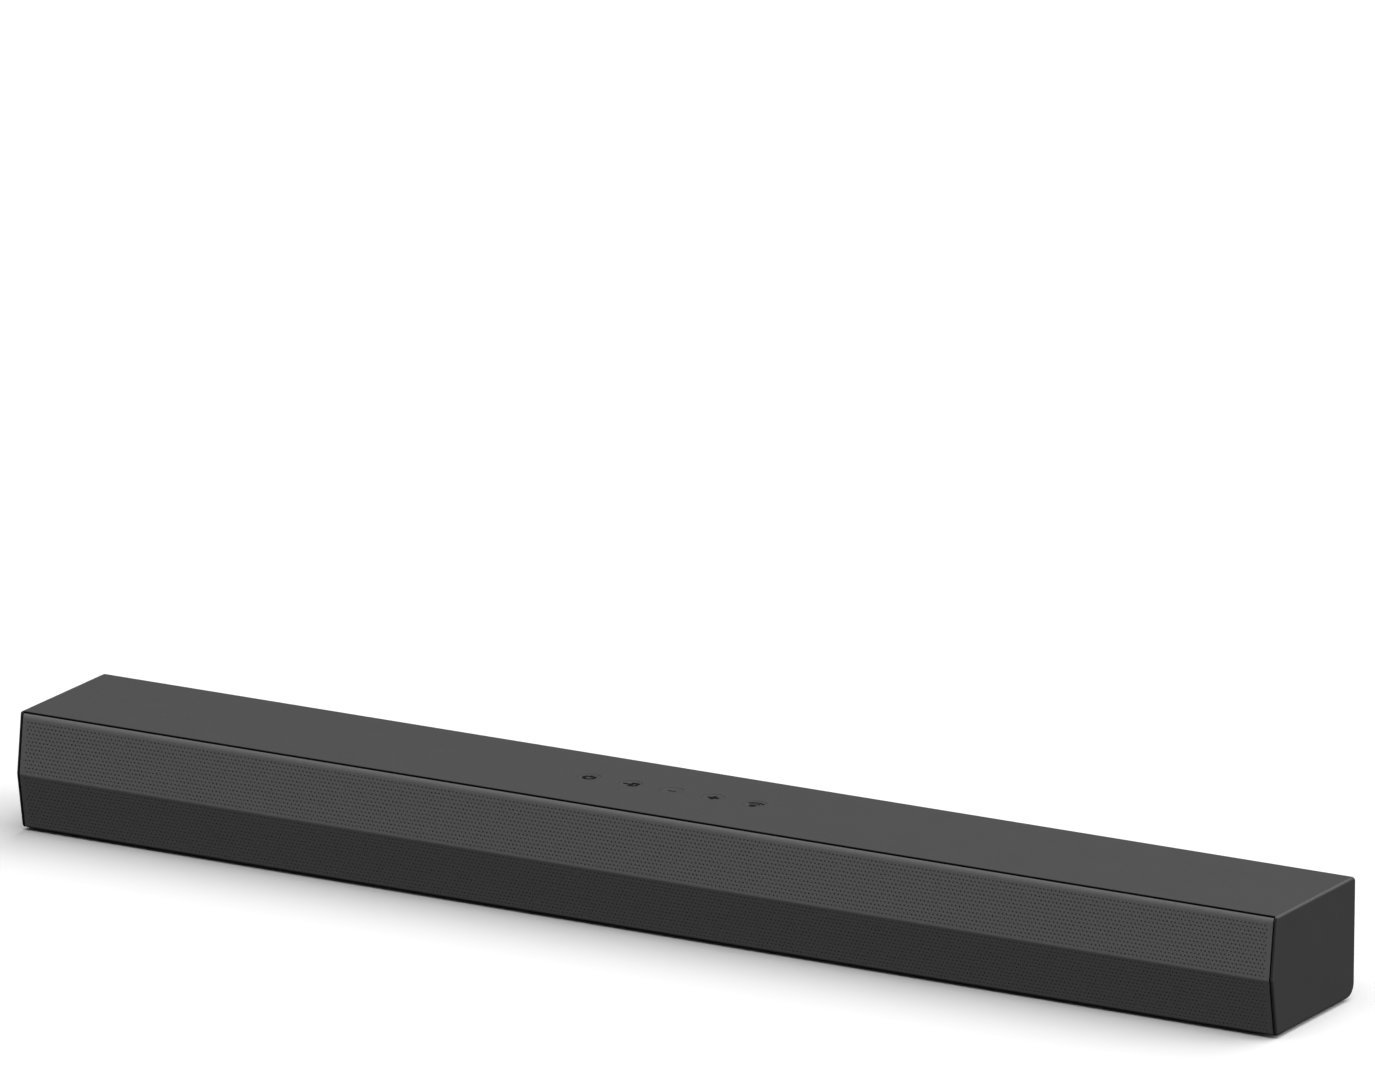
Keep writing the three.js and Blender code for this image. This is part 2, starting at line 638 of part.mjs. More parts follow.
// The paper cone with its domed cap, gathered to the voice coil at the neck.
function driverCone() {
  const rim = CONE_RADIUS + 0.3;
  return stretched(
    turned([
      [0, 3],
      [4, 3.6],
      [COIL_RADIUS + 0.6, 6.4],
      [rim - 2, 1.2],
      [rim, 0.2],
      [rim, 0.7],
      [rim - 1.8, 1.8],
      [COIL_RADIUS + 0.8, NECK_DEPTH],
      [COIL_RADIUS - 0.6, NECK_DEPTH],
      [COIL_RADIUS - 1, 7.4],
      [3.6, 4.3],
      [0, 3.7],
    ]),
  );
}

const driverCoil = () =>
  turned(washer(COIL_RADIUS - 0.4, COIL_RADIUS, NECK_DEPTH + SEAT, PLATE_DEPTH + 5));

// The corrugated disc that centres the coil.
function driverSpider() {
  const rings = 4;
  const [inner, outer] = [COIL_RADIUS + GAP, CAN_RADIUS - GAP];
  const at = NECK_DEPTH + 4;
  const wave = Array.from({ length: rings + 1 }, (_, k) => [
    inner + ((outer - inner) * k) / rings,
    at + (k % 2 ? 0.6 : -0.6),
  ]);
  const under = wave.map(([radius, y]) => [radius, y + 0.4]).reverse();
  return turned([...wave, ...under, wave[0]]);
}

const MAGNET_FRONT = PLATE_DEPTH + 3 + SEAT;
const driverMagnet = () =>
  turned(washer(COIL_RADIUS + 3, MAGNET_RADIUS, MAGNET_FRONT, MAGNET_FRONT + MAGNET_HEIGHT));

// The back plate with the pole that stands inside the coil.
function driverYoke() {
  const back = MAGNET_FRONT + MAGNET_HEIGHT + SEAT;
  return turned([
    [0, PLATE_DEPTH],
    [COIL_RADIUS - 1, PLATE_DEPTH],
    [COIL_RADIUS - 1, back],
    [MAGNET_RADIUS - 1, back],
    [MAGNET_RADIUS - 1, back + 3],
    [0, back + 3],
  ]);
}

// The foam ring between the flange and the baffle.
function driverGasket() {
  const inner = EDGE_RADIUS + SURROUND_LIP + GAP;
  const outer = FLANGE_RADIUS - 0.2;
  const ring = roundedRectangle(2 * (STRETCH + outer), 2 * outer, outer);
  ring.holes.push(roundedRectangle(2 * (STRETCH + inner), 2 * inner, inner));
  return alongY(ring, 0, GASKET);
}
const GASKET = 0.8;

// ---- Boards and what stands on them ----

const MAIN_BOARD_LEFT = -12.5; // the board's left edge, from the middle of the bar
const mainBoardX = () => MAIN_BOARD_LEFT + MAIN_BOARD.length / 2;
const boardY = (board) => BAY_BACK_WALL - BAY_WALL - BOARD_GAP - board.depth / 2;
const mainBoardY = () => boardY(MAIN_BOARD);
const SINK_X = 36; // what stands on a board, from the board's middle
const WIRELESS_X = -40;
const RIBBON_X = -19; // between the wireless module and the heat sink
const TRANSFORMER_X = -14;
const CAPACITOR_X = -38;
const powerBoardX = () => (MAIN_BOARD_LEFT - CHAMBER_X) / 2; // midway to the left chamber wall
const powerBoardY = () => boardY(POWER_BOARD) - BOARD_GAP;
const leadY = () => BAFFLE_BACK + LEAD_BEHIND_BAFFLE;

// A circuit board about its middle, with a hole for each post's pin.
function board({ length, depth }) {
  const holes = postPlaces({ length, depth }).map(([x, y]) =>
    cylinder(PIN_RADIUS + GAP, x, y, -1, BOARD_THICKNESS + 1, 10),
  );
  return cut(box([-length / 2, -depth / 2, 0], [length / 2, depth / 2, BOARD_THICKNESS]), ...holes);
}

// An extruded heat sink: a base with upright fins.
function heatSink() {
  const [length, depth, height, fins] = [34, 20, 15, 7];
  const base = box([-length / 2, -depth / 2, 0], [length / 2, depth / 2, 3]);
  const pitch = (length - 1.4) / (fins - 1);
  const blades = Array.from({ length: fins }, (_, i) => {
    const x = -length / 2 + i * pitch;
    return box([x, -depth / 2, 2.5], [x + 1.4, depth / 2, height]);
  });
  return joined(base, ...blades);
}

// A transformer: a wound core between two yokes, on a moulded former.
function transformer() {
  const core = box([-14, -11, 3], [14, 11, 20]);
  const windows = [-1, 1].map((side) => box([side * 9 - 3, -12, 6], [side * 9 + 3, 12, 17]));
  const winding = box([-11, -13, 6.2], [11, 13, 16.8]);
  const former = box([-12, -13, 0], [12, 13, 3.5]);
  return joined(cut(core, ...windows), winding, former);
}

const capacitor = () => joined(cylinder(8, 0, 0, 0, 25, 16), cylinder(8.3, 0, 0, 1, 3, 16));

function shieldCan() {
  const [length, depth, height] = [24, 18, 2.6];
  return joined(
    box([-length / 2, -depth / 2, 0], [length / 2, depth / 2, height]),
    box([-length / 2 + 3, -depth / 2 + 3, height - 0.3], [length / 2 - 3, depth / 2 - 3, height + 0.3]),
  );
}

// The upright board behind the baffle, with the remote-control eye and the status lamp.
const RECEIVER_BOARD = { length: 24, height: 16, thickness: 1.2 };
const EYE = { x0: -5, x1: 1, z0: -2.5, z1: 4, front: -3.2 };
const LAMP = { x0: 3, x1: 6, z0: -1, z1: 2, front: -2.2 };
const receiverX = () => DRIVER_X / 3;
const receiverZ = () => NOSE_HEIGHT + 8;
const receiverPinX = () => RECEIVER_BOARD.length / 2 - PIN_RADIUS - 1.4;
function receiverBoard() {
  const { length, height, thickness } = RECEIVER_BOARD;
  const plate = box([-length / 2, 0, -height / 2], [length / 2, thickness, height / 2]);
  const parts = [EYE, LAMP].map(({ x0, x1, z0, z1, front }) =>
    box([x0, front, z0], [x1, thickness / 2, z1]),
  );
  const holes = [-1, 1].map((side) =>
    pinAlongY(PIN_RADIUS + GAP, side * receiverPinX(), 0, -1, thickness + 1, 10),
  );
  return cut(joined(plate, ...parts), ...holes);
}

// ---- Connector bay and sockets ----

// Each socket is built with its mouth at y 0, looking along +Y, about the middle of its mouth.
const SOCKETS = {
  power_inlet: { x: -56, width: 17, height: 9 },
  video_socket: { x: 12, width: 15, height: 5.6 },
  optical_socket: { x: 36, width: 10.6, height: 11 },
  data_socket: { x: 60, width: 13.4, height: 6.2 },
};
const socketZ = (name) => MAIN_BOARD.height + BOARD_THICKNESS + SEAT + SOCKETS[name].height / 2;
const INLET_Z = BAY_MIDDLE;

// The tub behind the hood's back wall, open to the back, with a cut-out for each socket.
const bayMouthY = () => BACK - WALL - SEAT;
const BAY_RIM = 5; // how far the rim stands out round the mouth
const BAY_RIM_BELOW = 4;
function connectorBay() {
  const mouth = bayMouthY();
  const [half, low, high] = [BAY_LENGTH / 2, BAY_FLOOR, BAY_FLOOR + BAY_HEIGHT];
  const outside = box(
    [-half - BAY_WALL, BAY_BACK_WALL - BAY_WALL, low - BAY_WALL],
    [half + BAY_WALL, mouth, high + BAY_WALL],
  );
  const rim = box(
    [-half - BAY_RIM, mouth - BAY_WALL, low - BAY_RIM_BELOW],
    [half + BAY_RIM, mouth, high + BAY_RIM],
  );
  const inside = box([-half, BAY_BACK_WALL, low], [half, mouth + 1, high]);
  const cutOuts = Object.entries(SOCKETS).map(([name, { x, width, height }]) => {
    const z = name === "power_inlet" ? INLET_Z : socketZ(name);
    return box(
      [x - width / 2 - GAP, BAY_BACK_WALL - BAY_WALL - 1, z - height / 2 - GAP],
      [x + width / 2 + GAP, BAY_BACK_WALL + 1, z + height / 2 + GAP],
    );
  });
  return cut(joined(outside, rim), inside, ...cutOuts);
}

// A figure-eight mains inlet: its mouth is two joined rounds, and it is blind at the front.
const INLET_DEPTH = 17;
const INLET_PIN_SPACING = 8.6;
const INLET_PIN_RADIUS = 1.2;
const INLET_MOUTH_RADIUS = 3.4;
const INLET_MOUTH_DEPTH = 13;
const INLET_PIN_SET_BACK = 2.8; // pin tip behind the mouth
const INLET_PIN_TAIL = 3; // pin end in front of the inlet's blind end
function powerInlet() {
  const { width, height } = SOCKETS.power_inlet;
  const body = box([-width / 2, -INLET_DEPTH, -height / 2], [width / 2, 0, height / 2]);
  const flange = alongY(roundedRectangle(width + 6, height + 5, 3), -SOCKET_STAND + SEAT, SOCKET_STAND);
  const [mouthWidth, mouthHeight] = [INLET_PIN_SPACING + 6.6, 2 * INLET_MOUTH_RADIUS];
  const mouth = alongY(
    roundedRectangle(mouthWidth, mouthHeight, INLET_MOUTH_RADIUS),
    -INLET_MOUTH_DEPTH,
    SOCKET_STAND + 1,
  );
  const pinHoles = [-1, 1].map((side) => {
    const x = (side * INLET_PIN_SPACING) / 2;
    return pinAlongY(INLET_PIN_RADIUS + GAP, x, 0, -INLET_DEPTH - 1, 1 - INLET_MOUTH_DEPTH, 10);
  });
  return cut(joined(body, flange), mouth, ...pinHoles);
}

const powerPin = () =>
  turned(
    [
      [0, -INLET_DEPTH - INLET_PIN_TAIL],
      [INLET_PIN_RADIUS, -INLET_DEPTH - INLET_PIN_TAIL],
      [INLET_PIN_RADIUS, -INLET_PIN_SET_BACK - 0.6],
      [INLET_PIN_RADIUS - 0.5, -INLET_PIN_SET_BACK],
      [0, -INLET_PIN_SET_BACK],
    ],
    12,
  );

// A folded metal shell round a contact tongue, closed at the front.
function shellSocket(name, depth, skin, tongue) {
  const { width, height } = SOCKETS[name];
  const shell = cut(
    box([-width / 2, -depth, -height / 2], [width / 2, 0, height / 2]),
    box([-width / 2 + skin, -depth + 2, -height / 2 + skin], [width / 2 - skin, 1, height / 2 - skin]),
  );
  const blade = box(
    [-tongue.width / 2, -depth + 1, tongue.z - tongue.thickness / 2],
    [tongue.width / 2, -1, tongue.z + tongue.thickness / 2],
  );
  return joined(shell, blade);
}

// The optical socket: a square well with a sprung shutter hung on a pin at its top edge.
const SHUTTER_HINGE = { y: -2, z: 3.1 };
const SHUTTER_PIN_RADIUS = 0.6;
const SHUTTER_PIN_PLAY = 0.1;
const OPTICAL_DEPTH = 14;
const OPTICAL_WELL = 8.4; // across the square well
const OPTICAL_WELL_DEPTH = 10;
function opticalSocket() {
  const { width, height } = SOCKETS.optical_socket;
  const [well, depth] = [OPTICAL_WELL, OPTICAL_WELL_DEPTH];
  const body = box([-width / 2, -OPTICAL_DEPTH, -height / 2], [width / 2, 0, height / 2]);
  const room = box([-well / 2, -depth, -well / 2], [well / 2, 1, well / 2]);
  const lens = pinAlongY(1.3, 0, 0, -depth - 2, -depth + 1, 12);
  const hole = SHUTTER_PIN_RADIUS + SHUTTER_PIN_PLAY;
  const pivots = new THREE.CylinderGeometry(hole, hole, well + 1.6, 12).rotateZ(Math.PI / 2);
  return cut(body, room, lens, solid(pivots.translate(0, SHUTTER_HINGE.y, SHUTTER_HINGE.z)));
}

// The shutter about its own pin.
function opticalShutter() {
  const half = OPTICAL_WELL / 2 - 0.4;
  const drop = OPTICAL_WELL / 2 + SHUTTER_HINGE.z - 0.4; // from the pin to the plate's lower edge
  const plate = box([-half, -0.4, -drop], [half, 0.4, 0.3]);
  const radius = SHUTTER_PIN_RADIUS;
  const pin = new THREE.CylinderGeometry(radius, radius, OPTICAL_WELL + 1, 12).rotateZ(Math.PI / 2);
  return joined(plate, solid(pin));
}

// ---- Feet, inserts and screws ----

const footPlaces = () => [-END + FOOT_INSET, END - FOOT_INSET];
const insertPlaces = () => [-INSERT_SPACING / 2, INSERT_SPACING / 2];

function foot() {
  const top = FOOT_STAND + FOOT_SUNK - SEAT;
  const pad = new THREE.ExtrudeGeometry(roundedRectangle(FOOT_WIDTH, FOOT_LENGTH, FOOT_CORNER), {
    depth: top - FOOT_EDGE,
    bevelEnabled: true,
    bevelThickness: FOOT_EDGE,
    bevelSize: FOOT_EDGE,
    bevelOffset: -FOOT_EDGE,
    bevelSegments: 1,
    curveSegments: 4,
  });
  const rounded = solid(pad.translate(0, 0, FOOT_EDGE));
  return rounded.intersect(box([-FOOT_WIDTH, -FOOT_LENGTH, 0], [FOOT_WIDTH, FOOT_LENGTH, top]));
}

// A brass insert about its axis, with its mouth at y 0 looking along +Y.
const wallInsert = () =>
  turned([
    [INSERT_BORE, -INSERT_LENGTH + 1],
    [INSERT_RADIUS, -INSERT_LENGTH + 1],
    [INSERT_RADIUS, -0.5],
    [INSERT_RADIUS - 0.5, 0],
    [INSERT_BORE, 0],
    [INSERT_BORE, -INSERT_LENGTH + 1],
  ]);

// A pan-head screw pointing up, with the underside of its head at z 0.
function screw() {
  const head = SCREW_HEAD / 2;
  const shank = turned(
    [
      [0, -head],
      [SCREW_HEAD_RADIUS * 0.7, -head],
      [SCREW_HEAD_RADIUS, -head * 0.4],
      [SCREW_HEAD_RADIUS, 0],
      [SCREW_RADIUS, 0],
      [SCREW_RADIUS, SCREW_LENGTH - 3],
      [0, SCREW_LENGTH],
    ],
    10,
  );
  const slot = (length, width) => box([-length, -width, -head - 1], [length, width, -head * 0.45]);
  return cut(solid(shank.rotateX(Math.PI / 2)), slot(1.5, 0.35), slot(0.35, 1.5));
}

// ---- Materials ----

const finish = (color, roughness, metalness = 0) =>
  new THREE.MeshStandardMaterial({ color, roughness, metalness });
const MATERIALS = {
  cabinet: finish(0x3c3c3d, 0.55),
  grille: finish(0x414142, 0.5, 0.2),
  moulding: finish(0x1c1c1d, 0.6),
  key: finish(0x3a3a3b, 0.5),
  rubber: finish(0x151515, 0.9),
  steel: finish(0x9a9c9f, 0.4, 1),
  ferrite: finish(0x2c2c2e, 0.7),
  cone: finish(0x202021, 0.85),
  coil: finish(0xb06a35, 0.4, 0.8),
  spider: finish(0xb58d45, 0.9),
  foam: finish(0x252525, 0.95),
  board: finish(0x1d4a2b, 0.45),
  aluminium: finish(0xb4b6b9, 0.4, 1),
  brass: finish(0xb8964e, 0.35, 1),
  lead: finish(0x8a1f1c, 0.5),
};

// ---- Assembly ----

const soundbar = new THREE.Group();

function add(parent, name, made, material, [x, y, z] = [0, 0, 0]) {
  const geometry = made.isBufferGeometry ? made : geometryOf(made);
  const mesh = new THREE.Mesh(geometry, MATERIALS[material]);
  mesh.name = name;
  mesh.position.set(x, y, z);
  parent.add(mesh);
  return mesh;
}

add(soundbar, "top_cabinet", topCabinet(), "cabinet");
add(soundbar, "bottom_cabinet", bottomCabinet(), "moulding");
add(soundbar, "front_baffle", frontBaffle(), "moulding");
add(soundbar, "front_grille", frontGrille(), "grille");

// Keys, their switches and the board under them.
KEY_NAMES.forEach((name, i) => {
  const x = keyPlaces()[i];
  add(soundbar, `button_${name}`, keyCap(), "key", [x, KEY_ROW_Y, KEY_TOP]);
  add(soundbar, `switch_${name}`, keySwitch(), "moulding", [x, KEY_ROW_Y, KEY_BOARD_TOP]);
});
add(soundbar, "button_board", buttonBoard(), "board");

// Drivers, hung on the back of the baffle.
for (const [side, x] of [["left", -DRIVER_X], ["right", DRIVER_X]]) {
  const driver = new THREE.Group();
  driver.position.set(x, BAFFLE_BACK + 2 * SEAT + GASKET, DRIVER_Z);
  add(driver, `${side}_driver_frame`, driverFrame(), "steel");
  add(driver, `${side}_driver_surround`, driverSurround(), "rubber");
  add(driver, `${side}_driver_cone`, driverCone(), "cone");
  add(driver, `${side}_driver_coil`, driverCoil(), "coil");
  add(driver, `${side}_driver_spider`, driverSpider(), "spider");
  add(driver, `${side}_driver_magnet`, driverMagnet(), "ferrite");
  add(driver, `${side}_driver_yoke`, driverYoke(), "steel");
  soundbar.add(driver);
  add(soundbar, `${side}_driver_gasket`, driverGasket(), "foam", [x, BAFFLE_BACK + SEAT, DRIVER_Z]);
}

// Boards.
const mainTop = MAIN_BOARD.height + BOARD_THICKNESS + SEAT;
const powerTop = POWER_BOARD.height + BOARD_THICKNESS + SEAT;
const [mainX, mainY] = [mainBoardX(), mainBoardY()];
const [powerX, powerY] = [powerBoardX(), powerBoardY()];
add(soundbar, "main_board", board(MAIN_BOARD), "board", [mainX, mainY, MAIN_BOARD.height]);
add(soundbar, "amplifier_heat_sink", heatSink(), "aluminium", [mainX + SINK_X, mainY - 4, mainTop]);
add(soundbar, "wireless_module", shieldCan(), "steel", [mainX + WIRELESS_X, mainY - 4, mainTop]);
add(soundbar, "power_board", board(POWER_BOARD), "board", [powerX, powerY, POWER_BOARD.height]);
add(soundbar, "power_transformer", transformer(), "ferrite", [powerX + TRANSFORMER_X, powerY, powerTop]);
add(soundbar, "mains_capacitor", capacitor(), "moulding", [powerX + CAPACITOR_X, powerY, powerTop]);
add(soundbar, "receiver_board", receiverBoard(), "board", [receiverX(), BAFFLE_BACK + GAP, receiverZ()]);

// The bay and its sockets.
const mouthY = BAY_BACK_WALL + SOCKET_STAND;
const socketAt = (name) => [SOCKETS[name].x, mouthY, socketZ(name)];
const inletAt = [SOCKETS.power_inlet.x, mouthY, INLET_Z];
add(soundbar, "connector_bay", connectorBay(), "moulding");
add(soundbar, "power_inlet", powerInlet(), "moulding", inletAt);
for (const [side, sign] of [["left", -1], ["right", 1]]) {
  const at = [inletAt[0] + (sign * INLET_PIN_SPACING) / 2, inletAt[1], inletAt[2]];
  add(soundbar, `power_pin_${side}`, powerPin(), "brass", at);
}
const videoTongue = { width: 10.6, thickness: 1, z: 0.4 };
const dataTongue = { width: 11, thickness: 1.8, z: 1.3 };
const videoSocket = shellSocket("video_socket", 12, 0.5, videoTongue);
const dataSocket = shellSocket("data_socket", 14, 0.5, dataTongue);
add(soundbar, "video_socket", videoSocket, "steel", socketAt("video_socket"));
add(soundbar, "data_socket", dataSocket, "steel", socketAt("data_socket"));
const [opticalX, opticalY, opticalZ] = socketAt("optical_socket");
add(soundbar, "optical_socket", opticalSocket(), "moulding", [opticalX, opticalY, opticalZ]);
add(soundbar, "optical_shutter", opticalShutter(), "moulding", [
  opticalX,
  opticalY + SHUTTER_HINGE.y,
  opticalZ + SHUTTER_HINGE.z,
]);

// Leads: each runs from its driver along the floor, through its chamber wall, and up over the
// front edge of the main board.
const leadZ = FLOOR_TOP + LEAD_OVER_FLOOR;
const terminalY = BAFFLE_BACK + GASKET + PLATE_DEPTH;
const boardFrontY = mainBoardY() - MAIN_BOARD.depth / 2;
for (const [side, sign] of [["left", -1], ["right", 1]]) {
  const landing = mainBoardX() + sign * (MAIN_BOARD.length / 2 - 2 * BOARD_EDGE_INSET);
  const insideWall = sign * (CHAMBER_X - 8);
  const route = [
    [sign * (DRIVER_X - CAN_RADIUS - 2.6), terminalY, DRIVER_Z],
    [sign * (DRIVER_X - CAN_RADIUS - 8), terminalY, DRIVER_Z - 4],
    [sign * (CHAMBER_X + 24), leadY() + 6, leadZ + 6],
    [sign * (CHAMBER_X + 8), leadY(), leadZ],
    [insideWall, leadY(), leadZ],
    [insideWall + (landing - insideWall) * 0.88, leadY(), leadZ],
    [landing, leadY() + 1, leadZ + 1],
    [landing, boardFrontY - 5, (leadZ + mainTop) / 2 + 4],
    [landing, boardFrontY, mainTop + 3 * LEAD_RADIUS],
    [landing, boardFrontY + 6, mainTop + LEAD_RADIUS + GAP],
  ];
  add(soundbar, `${side}_speaker_lead`, cable(route, LEAD_RADIUS, 56), "lead");
}

// The flat cable from the key board down to the main board.
const ribbonTop = keyBoardTop() - KEY_BOARD_THICKNESS - GAP;
const ribbonY = KEY_ROW_Y - 4;
const ribbon = outline([
  [ribbonY, ribbonTop],
  [ribbonY - 8, ribbonTop - 4],
  [ribbonY - 8, mainTop + 6],
  [ribbonY - 2, mainTop + GAP],
  [ribbonY - 1.4, mainTop + GAP],
  [ribbonY - 7.4, mainTop + 6.2],
  [ribbonY - 7.4, ribbonTop - 4.4],
  [ribbonY + 0.6, ribbonTop - 0.4],
  [ribbonY + 0.6, ribbonTop],
]);
const ribbonX = mainBoardX() + RIBBON_X;
add(soundbar, "button_ribbon", alongX(ribbon, -6, 6), "foam", [ribbonX, 0, 0]);

// The two-core lead from the mains inlet down to the power board.
const inletBack = inletAt[1] - INLET_DEPTH - INLET_PIN_TAIL;
const inletLanding = powerX + POWER_BOARD.length / 2 - 2.4 * BOARD_EDGE_INSET;
const inletFall = 6; // how far the lead stands off the pins' ends and drops on its way across
const inletRoute = [
  [inletAt[0], inletBack - 0.8, inletAt[2]],
  [inletAt[0] - 1, inletBack - 4, inletAt[2] - 1],
  [(inletAt[0] + inletLanding) / 2, inletBack - inletFall, inletAt[2] - inletFall],
  [inletLanding, inletBack - inletFall, powerTop + 8],
  [inletLanding, inletBack - inletFall, powerTop + 0.4],
];
add(soundbar, "inlet_lead", cable(inletRoute, INLET_LEAD_RADIUS, 20), "lead");

// Feet, wall-mount inserts and cabinet screws.
["left", "right"].forEach((side, i) => {
  const insertAt = [insertPlaces()[i], BACK - SEAT, INSERT_HEIGHT];
  add(soundbar, `foot_${side}`, foot(), "rubber", [footPlaces()[i], 0, 0]);
  add(soundbar, `wall_insert_${side}`, wallInsert(), "brass", insertAt);
});
SCREW_PLACES.forEach(([x, y], i) => {
  const seat = FOOT_STAND + SCREW_HEAD / 2 - SEAT;
  add(soundbar, `cabinet_screw_${i + 1}`, screw(), "steel", [x, y, seat]);
});

export default soundbar;
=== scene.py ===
import math

import bmesh
import bpy
from mathutils import Matrix, Vector


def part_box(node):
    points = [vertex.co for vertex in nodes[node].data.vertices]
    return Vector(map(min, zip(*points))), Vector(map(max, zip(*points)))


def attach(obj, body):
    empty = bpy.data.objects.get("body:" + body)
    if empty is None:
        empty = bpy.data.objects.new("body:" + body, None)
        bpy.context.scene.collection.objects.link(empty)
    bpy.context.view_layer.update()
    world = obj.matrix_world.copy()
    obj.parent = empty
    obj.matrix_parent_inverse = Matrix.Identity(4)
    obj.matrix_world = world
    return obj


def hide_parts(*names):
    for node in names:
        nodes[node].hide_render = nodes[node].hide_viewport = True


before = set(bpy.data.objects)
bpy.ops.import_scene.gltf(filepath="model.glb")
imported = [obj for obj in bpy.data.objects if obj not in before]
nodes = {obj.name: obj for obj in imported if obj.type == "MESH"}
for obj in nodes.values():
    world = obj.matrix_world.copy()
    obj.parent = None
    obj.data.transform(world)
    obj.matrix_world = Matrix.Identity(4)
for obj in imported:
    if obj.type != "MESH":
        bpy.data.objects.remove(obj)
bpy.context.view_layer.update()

# ---------------------------------------------------------------------------
# Floor tray: the bottom of the cabinet. A black ABS moulding that slides up into the hood and is
# held by six screws. Its posts carry the boards, and it has a shallow pocket for each foot.
# ---------------------------------------------------------------------------
mm = 0.001
hood_low, hood_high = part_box("top_cabinet")
tray_low, tray_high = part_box("bottom_cabinet")
FRONT, BACK = hood_low.y, hood_high.y
TOP, UNDERSIDE, END = hood_high.z, hood_low.z, hood_high.x
NOSE_HEIGHT = 31 * mm
TOP_SETBACK = 4 * mm
BOTTOM_SETBACK = 5.4 * mm
WALL = 2.4 * mm
END_WALL = 1.4 * mm
GAP = 0.3 * mm
INNER_END = END - END_WALL
FLOOR_TOP = UNDERSIDE + WALL

# The corners of the cabinet's end outline in Y and Z, with the radius of each.
CORNERS = [
    (FRONT + TOP_SETBACK, TOP, 1.2 * mm),
    (FRONT, NOSE_HEIGHT, 3 * mm),
    (FRONT + BOTTOM_SETBACK, UNDERSIDE, 1.6 * mm),
    (BACK, UNDERSIDE, 7 * mm),
    (BACK, TOP, 2.8 * mm),
]


def inset_corners(inset):
    """The outline's corners moved inwards, so that each side lies that far inside the cabinet."""
    points = [Vector((y, z)) for y, z, _ in CORNERS]
    sides = []
    for i, point in enumerate(points):
        along = (points[(i + 1) % len(points)] - point).normalized()
        inwards = Vector((-along.y, along.x))
        sides.append((point + inwards * inset, along))
    met = []
    for i, (start, along) in enumerate(sides):
        before, before_along = sides[i - 1]
        across = before_along.x * along.y - before_along.y * along.x
        step = ((start.x - before.x) * along.y - (start.y - before.y) * along.x) / across
        met.append(before + before_along * step)
    return met


def arc(point, to_before, to_next, radius, steps):
    """The points of a round corner between two straight sides."""
    half = to_before.angle(to_next) / 2
    centre = point + (to_before + to_next).normalized() * radius / math.sin(half)
    first = point + to_before * radius / math.tan(half) - centre
    last = point + to_next * radius / math.tan(half) - centre
    sweep = math.pi - 2 * half
    turn = 1 if first.x * last.y - first.y * last.x > 0 else -1
    made = []
    for k in range(steps + 1):
        angle = turn * sweep * k / steps
        made.append(centre + Matrix.Rotation(angle, 2) @ first)
    return made


def end_outline(inset=0.0, steps=10):
    """The cabinet's end outline with its corners rounded, moved inwards by an inset."""
    points = inset_corners(inset)
    outline = []
    for i, point in enumerate(points):
        radius = max(CORNERS[i][2] - inset, 0.05 * mm)
        to_before = (points[i - 1] - point).normalized()
        to_next = (points[(i + 1) % len(points)] - point).normalized()
        outline += arc(point, to_before, to_next, radius, steps)
    return outline


def new_piece(name, vertices, faces):
    """An object from points and faces, with all faces turned to look out."""
    mesh = bpy.data.meshes.new(name)
    mesh.from_pydata([tuple(v) for v in vertices], [], faces)
    shape = bmesh.new()
    shape.from_mesh(mesh)
    bmesh.ops.remove_doubles(shape, verts=shape.verts, dist=1e-7)
    bmesh.ops.recalc_face_normals(shape, faces=shape.faces)
    shape.to_mesh(mesh)
    shape.free()
    piece = bpy.data.objects.new(name, mesh)
    bpy.context.scene.collection.objects.link(piece)
    return piece


def lofted(name, rings):
    """A skin over rings of points, with a flat cap on each end."""
    count = len(rings[0])
    vertices = [point for ring in rings for point in ring]
    faces = []
    for r in range(len(rings) - 1):
        one, two = r * count, (r + 1) * count
        for i in range(count):
            j = (i + 1) % count
            faces.append((one + i, one + j, two + j, two + i))
    faces.append(tuple(range(count)))
    faces.append(tuple(range((len(rings) - 1) * count, len(rings) * count)))
    return new_piece(name, vertices, faces)


def along_x(name, outline, x0, x1):
    """An outline in Y and Z, run along X."""
    return lofted(name, [[(x, y, z) for y, z in outline] for x in (x0, x1)])


def along_z(name, outline, z0, z1):
    """An outline in X and Y, run along Z."""
    return lofted(name, [[(x, y, z) for x, y in outline] for z in (z0, z1)])


def rounded_rectangle(width, height, radius, steps=8):
    """The outline of a rectangle with round corners, about its middle."""
    points = []
    for quarter, (sx, sy) in enumerate([(1, 1), (-1, 1), (-1, -1), (1, -1)]):
        for k in range(steps + 1):
            angle = math.pi / 2 * (quarter + k / steps)
            x = sx * (width / 2 - radius) + radius * math.cos(angle)
            y = sy * (height / 2 - radius) + radius * math.sin(angle)
            points.append((x, y))
    return points


def block(name, low, high):
    """A plain block between two corners, for joining to or cutting from a piece."""
    outline = [(low[0], low[1]), (high[0], low[1]), (high[0], high[1]), (low[0], high[1])]
    return along_z(name, outline, low[2], high[2])


